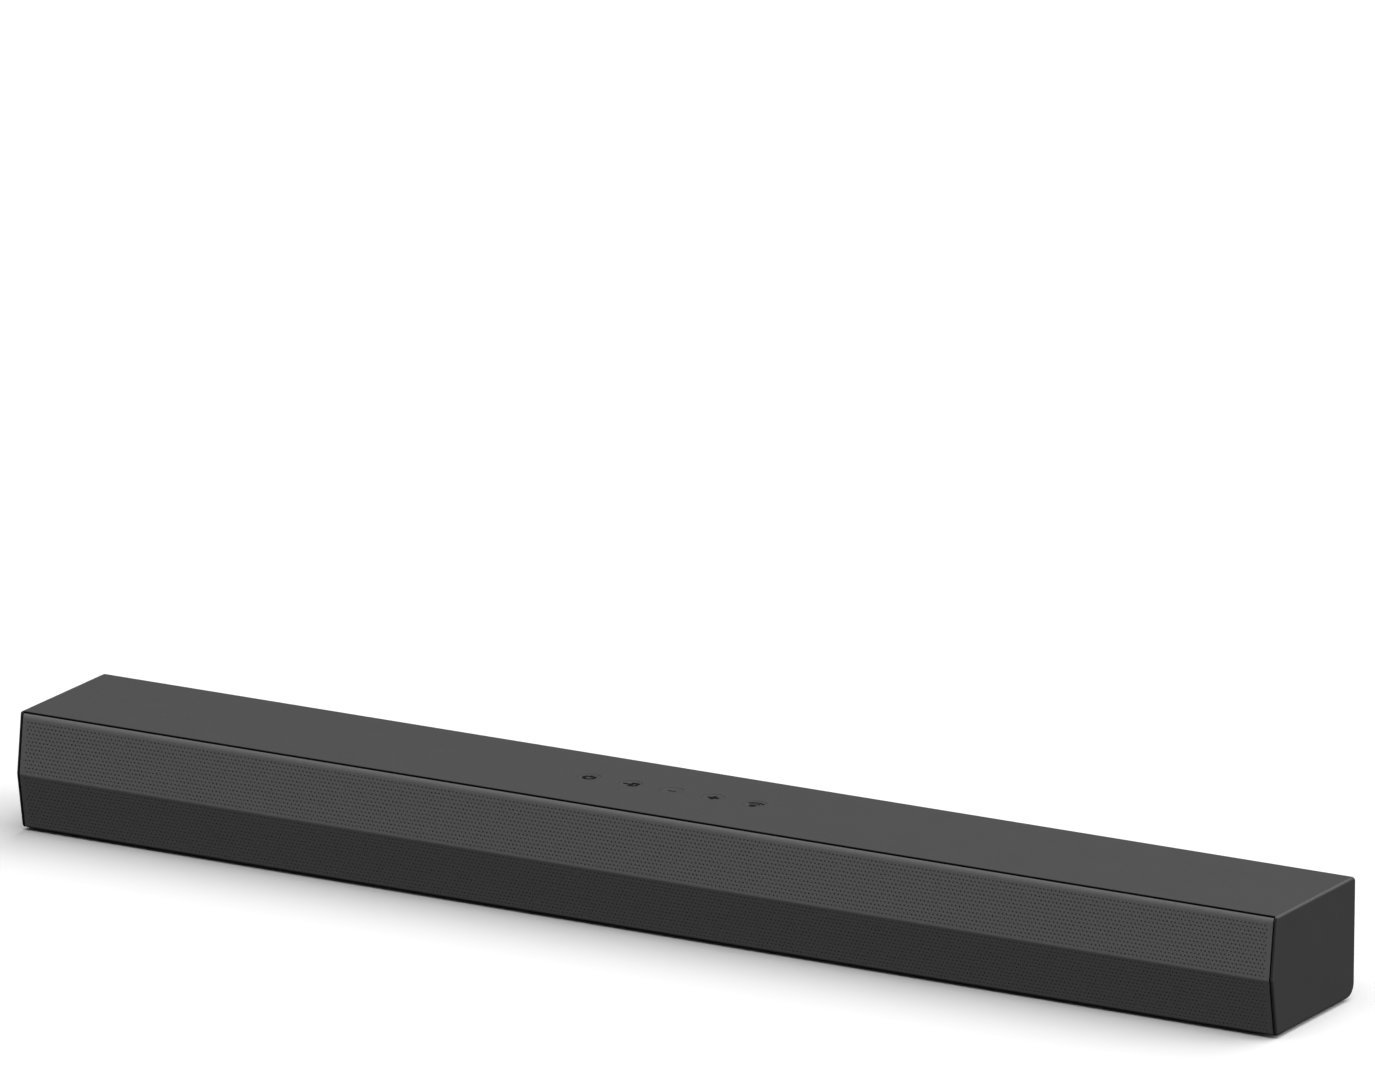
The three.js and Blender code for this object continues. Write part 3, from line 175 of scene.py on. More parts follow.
def turned(name, profile, sides=48, axis="Z", at=(0, 0, 0)):
    """A turned piece from (radius, height) points that start and end on its axis or close up."""
    ring_closes = profile[0] == profile[-1]
    points = profile[:-1] if ring_closes else profile
    vertices, faces, rows = [], [], []
    for radius, height in points:
        if radius < 1e-7:
            rows.append([len(vertices)] * sides)
            vertices.append((0, 0, height))
            continue
        rows.append([len(vertices) + k for k in range(sides)])
        for k in range(sides):
            angle = 2 * math.pi * (k + 0.5) / sides
            vertices.append((radius * math.cos(angle), radius * math.sin(angle), height))
    pairs = list(zip(rows, rows[1:])) + ([(rows[-1], rows[0])] if ring_closes else [])
    for one, two in pairs:
        for k in range(sides):
            j = (k + 1) % sides
            face = []
            for index in (one[k], one[j], two[j], two[k]):
                if index not in face:
                    face.append(index)
            if len(face) > 2:
                faces.append(face)
    piece = new_piece(name, vertices, faces)
    turns = {"Z": Matrix.Identity(4), "Y": Matrix.Rotation(-math.pi / 2, 4, "X")}
    turns["X"] = Matrix.Rotation(math.pi / 2, 4, "Y")
    piece.data.transform(Matrix.Translation(at) @ turns[axis])
    return piece


def rod(radius, start, end):
    """The profile of a plain rod or bore, from one place on its axis to another."""
    return [(0, start), (radius, start), (radius, end), (0, end)]


def boolean(piece, tools, operation):
    """Joins the tools to a piece or cuts them from it, all at once, and removes the tools."""
    group = bpy.data.collections.new("tools")
    for tool in tools:
        group.objects.link(tool)
    step = piece.modifiers.new("step", "BOOLEAN")
    step.operand_type = "COLLECTION"
    step.collection = group
    step.operation = operation
    step.solver = "EXACT"
    bpy.context.view_layer.update()
    made = bpy.data.meshes.new_from_object(piece.evaluated_get(bpy.context.evaluated_depsgraph_get()))
    piece.modifiers.clear()
    piece.data = made
    for tool in tools:
        bpy.data.objects.remove(tool)
    bpy.data.collections.remove(group)
    return piece


def smoothed(piece, angle=32):
    """Shades a piece smooth, apart from its sharp edges, and keeps its broad faces flat."""
    mesh = piece.data
    mesh.shade_smooth()
    mesh.set_sharp_from_angle(angle=math.radians(angle))
    flat = piece.modifiers.new("flat_faces", "WEIGHTED_NORMAL")
    flat.keep_sharp = True
    return piece


class Finish:
    """A procedural material over the object's own space: its shader, and the nodes that feed it."""

    def __init__(self, name, metal=0.0):
        self.material = bpy.data.materials.new(name)
        self.material.use_nodes = True
        self.tree = self.material.node_tree
        self.shader = self.tree.nodes["Principled BSDF"].inputs
        self.shader["Metallic"].default_value = metal
        self.place = self.node("TexCoord").outputs["Object"]

    def feed(self, socket, value):
        """Sets a socket to a value, or links it to another node's output."""
        if isinstance(value, bpy.types.NodeSocket):
            self.tree.links.new(value, socket)
        else:
            socket.default_value = value

    def node(self, kind, settings=None, **inputs):
        """A new node with its settings and its inputs, which are named or numbered as i0, i1."""
        made = self.tree.nodes.new("ShaderNode" + kind)
        for key, value in (settings or {}).items():
            setattr(made, key, value)
        for key, value in inputs.items():
            socket = int(key[1:]) if key[1:].isdigit() else key.replace("_", " ")
            self.feed(made.inputs[socket], value)
        return made

    def texture(self, kind, scale, settings=None, output=0, **inputs):
        """A texture over the object."""
        made = self.node("Tex" + kind, settings, Vector=self.place, Scale=scale, **inputs)
        return made.outputs[output]

    def noise(self, scale, detail=2.0, **inputs):
        """Cloudy noise over the object."""
        return self.texture("Noise", scale, Detail=detail, **inputs)

    def streaks(self, stretch, detail):
        """Noise drawn out along an axis, as brushing, drawing and turning leave it."""
        place = self.node("Mapping", None, Vector=self.place, Scale=stretch).outputs[0]
        return self.node("TexNoise", None, Vector=place, Scale=1.0, Detail=detail).outputs[0]

    def mixed(self, share, one, two):
        """The mix of two colours by a share."""
        return self.node("Mix", {"data_type": "RGBA"}, i0=share, i6=one, i7=two).outputs[2]

    def between(self, value, low, high, to_low, to_high):
        """A value moved from one range to another, and kept in it."""
        step = self.node("MapRange", None, i0=value, i1=low, i2=high, i3=to_low, i4=to_high)
        return step.outputs[0]

    def coat(self, colour, roughness, height=None, strength=0.3, depth=0.01 * mm):
        """Sets the surface's colour, roughness and fine relief, and gives the material."""
        self.feed(self.shader["Base Color"], colour)
        self.feed(self.shader["Roughness"], roughness)
        if height is not None:
            bump = self.node("Bump", None, Strength=strength, Distance=depth, Height=height)
            self.feed(self.shader["Normal"], bump.outputs[0])
        return self.material


def grey(level, tint=1.0):
    """A near-neutral colour from one linear level, with a tint on its blue."""
    return (level, level, level * tint, 1)


def textured_plastic(name, level, roughness, grain_size, grain_depth, shine=0.5):
    """Moulded plastic with a spark-eroded grain, slow tone changes and a faint handling haze."""
    finish = Finish(name)
    grain = finish.noise(1 / grain_size, 3.0)
    pits = finish.texture("Voronoi", 0.6 / grain_size)
    tone = finish.mixed(finish.noise(9.0), grey(level * 0.98), grey(level * 1.02))
    tone = finish.mixed(finish.between(grain, 0.35, 0.65, 0, 0.5), tone, grey(level * 1.22))
    haze = finish.noise(90.0, 6.0, Roughness=0.65)
    rough = finish.between(haze, 0.3, 0.7, roughness - 0.02, roughness + 0.03)
    relief = finish.node("Math", {"operation": "ADD"}, i0=grain, i1=pits).outputs[0]
    finish.shader["Specular IOR Level"].default_value = shine
    return finish.coat(tone, rough, relief, 0.5, grain_depth)


def paint(piece, material):
    """Gives a whole piece one material."""
    piece.data.materials.clear()
    piece.data.materials.append(material)
    return piece


tray_plastic = textured_plastic("tray_plastic", 0.018, 0.52, 0.35 * mm, 0.03 * mm)

SEAM = 0.45 * mm
GRILLE_SHEET = 0.8 * mm
BACK_SEAM_HEIGHT = tray_high.z
BEHIND_GRILLE = GRILLE_SHEET + SEAM


def front_line(inset, z):
    """How far back the folded front lies at a height, on the line that an inset gives."""
    top, nose, bottom = inset_corners(inset)[:3]
    upper, lower = (top, nose) if z > nose.y else (nose, bottom)
    share = (z - lower.y) / (upper.y - lower.y)
    return lower.x + (upper.x - lower.x) * share


def tray_section():
    """The tray's section: the cabinet's outline below the back seam, a wall thick."""
    edge = 0.3 * mm
    outer = [p for p in end_outline() if p.y < BACK_SEAM_HEIGHT - edge and p.x > 0]
    inner = [p for p in end_outline(WALL) if p.y < BACK_SEAM_HEIGHT - edge and p.x > 0]
    front_foot = Vector((front_line(BEHIND_GRILLE, UNDERSIDE) + edge, UNDERSIDE))
    front_rise = Vector((front_line(BEHIND_GRILLE, UNDERSIDE + edge), UNDERSIDE + edge))
    front_top = Vector((front_line(BEHIND_GRILLE, FLOOR_TOP), FLOOR_TOP))
    back_top = Vector((BACK - edge * 0.3, BACK_SEAM_HEIGHT - edge * 0.3))
    inner_top = Vector((BACK - WALL, BACK_SEAM_HEIGHT - edge * 0.3))
    outer_rise = Vector((BACK, BACK_SEAM_HEIGHT - edge))
    return [front_rise, front_foot, *outer, outer_rise, back_top, inner_top, *inner[::-1], front_top]


tray = along_x("floor_tray", tray_section(), tray_low.x, tray_high.x)

POST_RADIUS = 2.2 * mm
POST_PIN_RADIUS = 1.1 * mm
POST_INSET = 5 * mm
POST_ROOT = 0.5 * mm  # how far a post runs down into the floor that it joins
PIN_CHAMFER = 0.3 * mm
SEAT = 0.1 * mm  # between pieces that rest on each other
posts = []
for board in ("main_board", "power_board"):
    low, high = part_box(board)
    for x in (low.x + POST_INSET, high.x - POST_INSET):
        for y in (low.y + POST_INSET, high.y - POST_INSET):
            pin_top = high.z + 1 * mm
            profile = [
                (0, FLOOR_TOP - POST_ROOT),
                (POST_RADIUS, FLOOR_TOP - POST_ROOT),
                (POST_RADIUS, low.z - SEAT),
                (POST_PIN_RADIUS, low.z - SEAT),
                (POST_PIN_RADIUS, pin_top - PIN_CHAMFER),
                (POST_PIN_RADIUS * 0.6, pin_top),
                (0, pin_top),
            ]
            posts.append(turned("post", profile, 24, at=(x, y, 0)))
boolean(tray, posts, "UNION")

FOOT_POCKET_DEPTH = 1 * mm
FOOT_CORNER = 4 * mm
pockets = []
for side in ("left", "right"):
    low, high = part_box(f"foot_{side}")
    outline = rounded_rectangle(
        high.x - low.x + 2 * GAP, high.y - low.y + 2 * GAP, FOOT_CORNER + GAP
    )
    middle = (low.x + high.x) / 2
    placed = [(x + middle, y) for x, y in outline]
    pockets.append(along_z("pocket", placed, -1 * mm, UNDERSIDE + FOOT_POCKET_DEPTH))
SCREWS = [f"cabinet_screw_{i}" for i in range(1, 7)]
SCREW_HEAD_RADIUS = 2.9 * mm
SCREW_RADIUS = 1.5 * mm
SCREW_HEAD = 0.9 * mm
SCREW_RIM = 0.4 * mm  # the countersink round a screw's room
BEYOND = 1 * mm  # how far a cutting tool runs past the face that it cuts
for name in SCREWS:
    low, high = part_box(name)
    x, y = (low.x + high.x) / 2, (low.y + high.y) / 2
    room, bore = SCREW_HEAD_RADIUS + GAP, SCREW_RADIUS + GAP
    seat = UNDERSIDE + SCREW_HEAD
    profile = [
        (0, 0),
        (room + SCREW_RIM, 0),
        (room + SCREW_RIM, UNDERSIDE),
        (room, UNDERSIDE + SCREW_RIM),
        (room, seat),
        (bore, seat),
        (bore, FLOOR_TOP + BEYOND),
        (0, FLOOR_TOP + BEYOND),
    ]
    pockets.append(turned("screw_room", profile, 32, at=(x, y, 0)))
boolean(tray, pockets, "DIFFERENCE")
paint(smoothed(tray), tray_plastic)
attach(tray, "cabinet")
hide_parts("bottom_cabinet")

# ---------------------------------------------------------------------------
# Feet: two long rubber pads, pressed into the tray's pockets and glued. The face that meets the
# table has a border and cross ribs, as moulded rubber feet have.
# ---------------------------------------------------------------------------
finish = Finish("foot_rubber")
dust = finish.noise(160.0, 8.0)
foot_rubber = finish.coat(
    finish.mixed(finish.between(dust, 0.5, 0.75, 0, 1), grey(0.011), grey(0.024)),
    finish.between(dust, 0.3, 0.7, 0.72, 0.9),
    finish.noise(2600.0),
    0.4,
    0.03 * mm,
)

FOOT_EDGE = 0.5 * mm
FOOT_BORDER = 2.2 * mm
FOOT_RIB_PITCH = 4 * mm
FOOT_GROOVE = 1.8 * mm
FOOT_GROOVE_DEPTH = 0.5 * mm
for side in ("left", "right"):
    low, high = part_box(f"foot_{side}")
    width, length = high.x - low.x, high.y - low.y
    middle = (low + high) / 2
    rings = []
    for inset, z in ((FOOT_EDGE, 0), (FOOT_EDGE * 0.3, FOOT_EDGE * 0.3), (0, FOOT_EDGE), (0, high.z)):
        outline = rounded_rectangle(width - 2 * inset, length - 2 * inset, FOOT_CORNER - inset)
        rings.append([(x + middle.x, y + middle.y, z) for x, y in outline])
    foot = lofted(f"rubber_foot_{side}", rings)
    grooves = []
    count = int((length - 2 * FOOT_BORDER) / FOOT_RIB_PITCH)
    for k in range(count):
        y = middle.y + (k - (count - 1) / 2) * FOOT_RIB_PITCH
        half = width / 2 - FOOT_BORDER
        grooves.append(
            block(
                "groove",
                (middle.x - half, y - FOOT_GROOVE / 2, -1 * mm),
                (middle.x + half, y + FOOT_GROOVE / 2, FOOT_GROOVE_DEPTH),
            )
        )
    boolean(foot, grooves, "DIFFERENCE")
    paint(smoothed(foot), foot_rubber)
    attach(foot, "cabinet")
    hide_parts(f"foot_{side}")

# ---------------------------------------------------------------------------
# Hood: the top, the back wall and both end walls in one matte charcoal moulding with a fine
# spark-eroded grain. It has five key holes, the connector mouth and the two wall-mount seats.
# ---------------------------------------------------------------------------
hood_plastic = textured_plastic("hood_plastic", 0.0245, 0.55, 0.4 * mm, 0.03 * mm, shine=0.3)

END_EDGE = 1.4 * mm
LIP_EDGE = 0.3 * mm
FRONT_LIP = 0.2 * mm
UNDERCUT = 1.1 * mm  # how far the shadow line over the grille runs back under the top's edge
INNER_TOP = TOP - WALL


def hood_body():
    """The solid cabinet outline from end to end, with its end faces' edges rounded."""
    steps = 6
    rings = []
    for k in range(steps + 1):
        angle = math.pi / 2 * k / steps
        inset = END_EDGE * (1 - math.sin(angle))
        rings.append((-END + END_EDGE * (1 - math.cos(angle)), inset))
    mirrored = [(-x, inset) for x, inset in reversed(rings)]
    placed = [
        [(x, y, z) for y, z in end_outline(inset)] for x, inset in rings + mirrored
    ]
    return lofted("hood", placed)


def hood_hollow():
    """What is cut away between the end walls: the room inside, the grille's room and the tray's."""
    beyond = 20 * mm
    corner = Vector((front_line(BEHIND_GRILLE, TOP), TOP))
    lip = [
        corner + Vector((FRONT_LIP, beyond * 0.2)),
        corner + Vector((FRONT_LIP, 0)),
        corner + Vector((FRONT_LIP * 0.3, -FRONT_LIP * 0.25)),
        corner + Vector((0, -FRONT_LIP * 0.8)),
        corner + Vector((FRONT_LIP * 0.5, -FRONT_LIP * 1.2)),
        corner + Vector((UNDERCUT, -FRONT_LIP * 1.2 - UNDERCUT * 0.5)),
        corner + Vector((UNDERCUT, -UNDERCUT * 1.6)),
    ]
    fillet = 1.2 * mm
    return [
        Vector((FRONT - beyond, TOP + beyond * 0.2)),
        *lip,
        Vector((front_line(BEHIND_GRILLE, INNER_TOP), INNER_TOP)),
        Vector((BACK - WALL - fillet, INNER_TOP)),
        Vector((BACK - WALL - fillet * 0.3, INNER_TOP - fillet * 0.3)),
        Vector((BACK - WALL, INNER_TOP - fillet)),
        Vector((BACK - WALL, BACK_SEAM_HEIGHT)),
        Vector((BACK - LIP_EDGE, BACK_SEAM_HEIGHT)),
        Vector((BACK - LIP_EDGE * 0.3, BACK_SEAM_HEIGHT + LIP_EDGE * 0.3)),
        Vector((BACK, BACK_SEAM_HEIGHT + LIP_EDGE)),
        Vector((BACK + 5 * mm, BACK_SEAM_HEIGHT + LIP_EDGE)),
        Vector((BACK + 5 * mm, -beyond * 0.5)),
        Vector((FRONT - beyond, -beyond * 0.5)),
    ]


hood = hood_body()
boolean(hood, [along_x("hollow", hood_hollow(), -INNER_END, INNER_END)], "DIFFERENCE")

# Bosses for the screws, seats for the wall-mount inserts, and the clips for the key board and bay.
BOSS_WALL = 2 * mm
ROOT = 0.5 * mm  # how far a boss or a hook runs into the wall that it joins
fixings = []
for name in SCREWS:
    low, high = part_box(name)
    x, y = (low.x + high.x) / 2, (low.y + high.y) / 2
    profile = [
        (0, FLOOR_TOP + SEAT),
        (SCREW_RADIUS + BOSS_WALL, FLOOR_TOP + SEAT),
        (SCREW_RADIUS + BOSS_WALL + 0.4 * mm, INNER_TOP + ROOT),
        (0, INNER_TOP + ROOT),
    ]
    fixings.append(turned("boss", profile, 32, at=(x, y, 0)))
INSERTS = ("wall_insert_left", "wall_insert_right")
for name in INSERTS:
    low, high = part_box(name)
    middle = (low + high) / 2
    seat = rod((high.x - low.x) / 2 + GAP + BOSS_WALL, low.y - BEYOND, BACK - WALL / 2)
    fixings.append(turned("seat", seat, 40, "Y", (middle.x, 0, middle.z)))

CLIP_WALL = 1.4 * mm
CLIP_HALF = 4.5 * mm
CLIP_REACH = 2 * mm


def clip(low, high, slot_low, slot_high):
    """A moulded hook: a block with the slot that holds the edge of a board or a rim."""
    return boolean(block("clip", low, high), [block("slot", slot_low, slot_high)], "DIFFERENCE")


board_low, board_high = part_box("button_board")
for sign, end in ((-1, board_low.x), (1, board_high.x)):
    y = (board_low.y + board_high.y) / 2
    spans = sorted((end - sign * CLIP_REACH, end + sign * (GAP + CLIP_WALL)))
    room = sorted((end - sign * 3 * CLIP_REACH, end + sign * GAP))
    under = board_low.z - GAP
    fixings.append(
        clip(
            (spans[0], y - CLIP_HALF, under - CLIP_WALL),
            (spans[1], y + CLIP_HALF, INNER_TOP + ROOT),
            (room[0], y - 2 * CLIP_HALF, under),
            (room[1], y + 2 * CLIP_HALF, board_high.z + GAP),
        )
    )

bay_low, bay_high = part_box("connector_bay")
BAY_RIM = 5 * mm
BAY_RIM_BELOW = 4 * mm
BAY_WALL = 1.8 * mm
BAY_HALF = bay_high.x - BAY_RIM
BAY_FLOOR = bay_low.z + BAY_RIM_BELOW
BAY_ROOF = bay_high.z - BAY_RIM
for side in (-1, 1):
    x = side * (BAY_HALF - 3 * CLIP_HALF)
    for edge, out in ((bay_low.z, -1), (bay_high.z, 1)):
        spans = sorted((edge - out * CLIP_WALL, edge + out * (GAP + CLIP_WALL)))
        room = sorted((edge - out * 2 * CLIP_WALL, edge + out * GAP))
        behind = bay_high.y - BAY_WALL - GAP
        fixings.append(
            clip(
                (x - CLIP_HALF, behind - CLIP_WALL, spans[0]),
                (x + CLIP_HALF, BACK - WALL + ROOT, spans[1]),
                (x - 2 * CLIP_HALF, behind, room[0]),
                (x + 2 * CLIP_HALF, BACK - WALL, room[1]),
            )
        )
boolean(hood, fixings, "UNION")

# Holes, each with a softened outer edge.
KEYS = ("power", "source", "volume_down", "volume_up", "pairing")
KEY_RADIUS = 6 * mm
KEY_RING_GAP = 0.06 * mm
holes = []
for key in KEYS:
    low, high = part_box(f"button_{key}")
    x, y = (low.x + high.x) / 2, (low.y + high.y) / 2
    bore = KEY_RADIUS + KEY_RING_GAP
    profile = [
        (0, INNER_TOP - BEYOND),
        (bore, INNER_TOP - BEYOND),
        (bore, TOP - 0.08 * mm),
        (bore + 0.03 * mm, TOP - 0.02 * mm),
        (bore + 0.08 * mm, TOP + 0.01 * mm),
        (bore + 0.08 * mm, TOP + BEYOND),
        (0, TOP + BEYOND),
    ]
    holes.append(turned("key_hole", profile, 96, at=(x, y, 0)))
for name in SCREWS:
    low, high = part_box(name)
    x, y = (low.x + high.x) / 2, (low.y + high.y) / 2
    bore = SCREW_RADIUS + GAP
    profile = [(0, 0), (bore, 0), (bore, high.z + 1 * mm), (0, high.z + 2 * mm)]
    holes.append(turned("screw_hole", profile, 32, at=(x, y, 0)))
for name in INSERTS:
    low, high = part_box(name)
    middle = (low + high) / 2
    bore = (high.x - low.x) / 2 + GAP
    profile = [
        (0, low.y - 2 * BEYOND),
        (bore, low.y - 2 * BEYOND),
        (bore, BACK - LIP_EDGE),
        (bore + LIP_EDGE * 0.3, BACK - LIP_EDGE * 0.3),
        (bore + LIP_EDGE, BACK),
        (bore + LIP_EDGE, BACK + BEYOND),
        (0, BACK + BEYOND),
    ]
    holes.append(turned("insert_hole", profile, 48, "Y", (middle.x, 0, middle.z)))

BAY_CORNER = 1.2 * mm
MOUTH_EDGE = 0.5 * mm


def along_y(name, sections, x0=0, z0=0):
    """Outlines in X and Z about a middle, each at its own Y, as one solid."""
    return lofted(name, [[(x + x0, y, z + z0) for x, z in outline] for outline, y in sections])


mouth = []
for grow, y in (
    (0, BACK - WALL - BEYOND),
    (0, BACK - MOUTH_EDGE),
    (MOUTH_EDGE * 0.3, BACK - MOUTH_EDGE * 0.3),
    (MOUTH_EDGE, BACK),
    (MOUTH_EDGE, BACK + BEYOND),
):
    height = BAY_ROOF - BAY_FLOOR + 2 * grow
    mouth.append((rounded_rectangle(2 * (BAY_HALF + grow), height, BAY_CORNER + grow), y))
holes.append(along_y("bay_mouth", mouth, 0, (BAY_FLOOR + BAY_ROOF) / 2))
boolean(hood, holes, "DIFFERENCE")
paint(smoothed(hood), hood_plastic)
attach(hood, "cabinet")
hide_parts("top_cabinet")

# ---------------------------------------------------------------------------
# Grille: one steel sheet, punched with staggered holes, folded along the nose, turned in at its
# top and bottom edges and powder coated. It is drawn as its upper and its lower face, which meet
# in the middle of the fold.
finish = Finish("grille_paint")
fleck = finish.noise(700.0, 4.0)
powder = finish.mixed(finish.noise(11.0, 4.0), grey(0.146), grey(0.152))
grille_paint = finish.coat(
    finish.mixed(finish.between(fleck, 0.4, 0.7, 0, 0.6), powder, grey(0.166)),
    finish.between(fleck, 0.3, 0.7, 0.42, 0.58),
    finish.noise(1700.0),
    0.35,
    0.02 * mm,
)

HOLE_PITCH = 2.2 * mm
HOLE_RADIUS = 0.5 * mm
HOLE_SIDES = 6
ROW_PITCH = HOLE_PITCH * math.sqrt(3) / 2
PLAIN_MARGIN = 0.4 * mm  # along the fold
END_MARGIN = 1.1 * mm
SHEET_STOCK = 0.45 * mm
HEM_RADIUS = 7 * mm
HEM_TURN = math.radians(24)
HEM_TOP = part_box("front_grille")[1].z - 0.25 * mm
BEND_STEPS = 8
GRILLE_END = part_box("front_grille")[1].x - 0.3 * mm


def top_hem(inset):
    """The grille's upper edge: a soft roll inwards, from its end down to the flat face."""
    top, nose = inset_corners(0)[:2]
    up = (top - nose).normalized()
    inwards = Vector((up.y, -up.x))
    rise = HEM_RADIUS * (math.sin(HEM_TURN) * up.y + (1 - math.cos(HEM_TURN)) * inwards.y)
    start = Vector((front_line(0, HEM_TOP - rise), HEM_TOP - rise))
    centre, radius = start + inwards * HEM_RADIUS, HEM_RADIUS - inset
    angles = [HEM_TURN * (1 - k / BEND_STEPS) for k in range(BEND_STEPS + 1)]
    return [centre + (up * math.sin(a) - inwards * math.cos(a)) * radius for a in angles]


def grille_bends(face, inset):
    """The round bends before and after a face's flat run, on the outer or the inner skin."""
    top, nose, bottom = inset_corners(inset)[:3]
    beyond_bottom = Vector((BACK, bottom.y))
    turns = {
        "nose": (nose, top, bottom, CORNERS[1][2]),
        "bottom": (bottom, nose, beyond_bottom, CORNERS[2][2]),
    }
    made = {"top": top_hem(inset)}
    for name, (point, before, after, radius) in turns.items():
        to_before, to_after = (before - point).normalized(), (after - point).normalized()
        made[name] = arc(point, to_before, to_after, radius - inset, BEND_STEPS)
    half = BEND_STEPS // 2
    if face == "upper":
        return made["top"], made["nose"][: half + 1]
    return made["nose"][half:], made["bottom"]


def perforated_face(name, face):
    """A face of the grille as a closed sheet: flat rows of holes between its two bends."""
    vertices, faces, skins = [], [], []

    def point(x, place):
        vertices.append((x, place.x, place.y))
        return len(vertices) - 1

    def joined(one, two):
        for i in range(len(one) - 1):
            faces.append((one[i], one[i + 1], two[i + 1], two[i]))

    flat_start, flat_end = [bend[i] for bend, i in zip(grille_bends(face, 0), (-1, 0))]
    length = (flat_end - flat_start).length
    rows = round((length - 2 * PLAIN_MARGIN) / ROW_PITCH)
    row_pitch = (length - 2 * PLAIN_MARGIN) / rows
    columns = int((2 * GRILLE_END - 2 * END_MARGIN) / HOLE_PITCH - 0.5)
    half, steps = HOLE_PITCH / 2, 2 * columns + 1
    left = -steps * half / 2
    for inset in (0, SHEET_STOCK):
        before, after = grille_bends(face, inset)
        along = (after[0] - before[-1]).normalized()
        bends = []
        for bend in (before, after):
            bends.append([(point(-GRILLE_END, p), point(GRILLE_END, p)) for p in bend])
        for bend in bends:
            for one, two in zip(bend, bend[1:]):
                joined(one, two)
        lines = []
        for r in range(rows + 1):
            place = before[-1] + along * (PLAIN_MARGIN + r * row_pitch)
            lines.append([point(left + k * half, place) for k in range(steps + 1)])
        upper, lower = bends[0][-1], bends[1][0]
        faces.append((*upper, *lines[0][::-1]))
        faces.append((*lower, *lines[-1][::-1]))
        faces.append((upper[0], lower[0], *[line[0] for line in lines[::-1]]))
        faces.append((upper[1], lower[1], *[line[-1] for line in lines[::-1]]))
        rims = []
        for r in range(rows):
            low, high, shift = lines[r], lines[r + 1], r % 2
            middle = before[-1] + along * (PLAIN_MARGIN + (r + 0.5) * row_pitch)
            for c in range(columns):
                k = 2 * c + shift
                border = (low[k], low[k + 1], low[k + 2], high[k + 2], high[k + 1], high[k])
                rim = []
                for corner in range(HOLE_SIDES):
                    angle = 2 * math.pi * corner / HOLE_SIDES - math.radians(150)
                    x = left + (k + 1) * half + HOLE_RADIUS * math.cos(angle)
                    rim.append(point(x, middle + along * HOLE_RADIUS * math.sin(angle)))
                joined((*border, border[0]), (*rim, rim[0]))
                rims.append((*rim, rim[0]))
            spare = 0 if shift else steps - 1
            joined(low[spare : spare + 2], high[spare : spare + 2])
        skins.append((bends, rims))
    for outer, inner in zip(skins[0][1], skins[1][1]):
        joined(outer, inner)
    outer, inner = [[*bends[0], *bends[1]] for bends, _ in skins]
    for end in (0, 1):
        joined([pair[end] for pair in outer], [pair[end] for pair in inner])
    joined(outer[0], inner[0])
    joined(outer[-1], inner[-1])
    return new_piece(name, vertices, faces)


for face in ("upper", "lower"):
    sheet = perforated_face(f"grille_{face}_face", face)
    paint(smoothed(sheet), grille_paint)
    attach(sheet, "cabinet")
    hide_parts("front_grille")

# ---------------------------------------------------------------------------
# Acoustic cloth: a thin grey weave, glued to the back of the grille. It keeps dust out of the
# drivers and hides them behind the holes.
# ---------------------------------------------------------------------------
THREADS = 1 / (0.45 * mm)
finish = Finish("acoustic_cloth")
weft, warp = [
    finish.texture("Wave", THREADS / 20, {"bands_direction": direction}, 1) for direction in "XZ"
]
crossing = finish.node("Math", {"operation": "MULTIPLY"}, i0=weft, i1=warp).outputs[0]
finish.shader["Sheen Weight"].default_value = 0.2
finish.shader["Specular IOR Level"].default_value = 0.2
colour = finish.mixed(crossing, grey(0.13), grey(0.19))
cloth_weave = finish.coat(colour, 0.95, crossing, 0.6, 0.05 * mm)

CLOTH = 0.15 * mm
CLOTH_FRONT = SHEET_STOCK + 0.05 * mm
section = []
for inset in (CLOTH_FRONT, CLOTH_FRONT + CLOTH):
    heights = (TOP - 4.4 * mm, NOSE_HEIGHT, UNDERSIDE + 2 * mm)
    run = [Vector((front_line(inset, z), z)) for z in heights]
    run[1] = inset_corners(inset)[1]
    section += run if inset == CLOTH_FRONT else run[::-1]
cloth = along_x("acoustic_cloth", section, -GRILLE_END + 1 * mm, GRILLE_END - 1 * mm)
paint(cloth, cloth_weave)
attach(cloth, "cabinet")

# ---------------------------------------------------------------------------
# Keys: five round caps in the hood's plastic, set flush with the top. Each has a lip that stops it
# from lifting out, a stem that meets its switch, and a dark pad-printed mark in a shallow dish.
# ---------------------------------------------------------------------------
KEY_LIP = 1.1 * mm
KEY_LIP_WIDTH = 1 * mm
KEY_STEM_RADIUS = 1.6 * mm
KEY_DISH = 0.25 * mm
PRINT_RISE = 0.03 * mm
STROKES = {"power": 2.0, "source": 1.9, "volume_down": 1.1, "volume_up": 2.3, "pairing": 1.2}

finish = Finish("print_ink")
wear = finish.noise(1500.0, 5.0)
finish.shader["Specular IOR Level"].default_value = 0.05
print_ink = finish.coat(
    finish.mixed(finish.between(wear, 0.55, 0.75, 0, 0.5), grey(0.003), grey(0.008)),
    finish.between(wear, 0.3, 0.7, 0.75, 0.9),
    wear,
    0.2,
)


def curve_points(radius, start, finish, steps=28, middle=(0, 0)):
    """Points on part of a circle, between two angles in degrees."""
    angles = [math.radians(start + (finish - start) * k / steps) for k in range(steps + 1)]
    return [(middle[0] + radius * math.cos(a), middle[1] + radius * math.sin(a)) for a in angles]


def straight_points(start, finish, steps=8):
    """Points on a straight line."""
    return [
        tuple(a + (b - a) * k / steps for a, b in zip(start, finish)) for k in range(steps + 1)
    ]


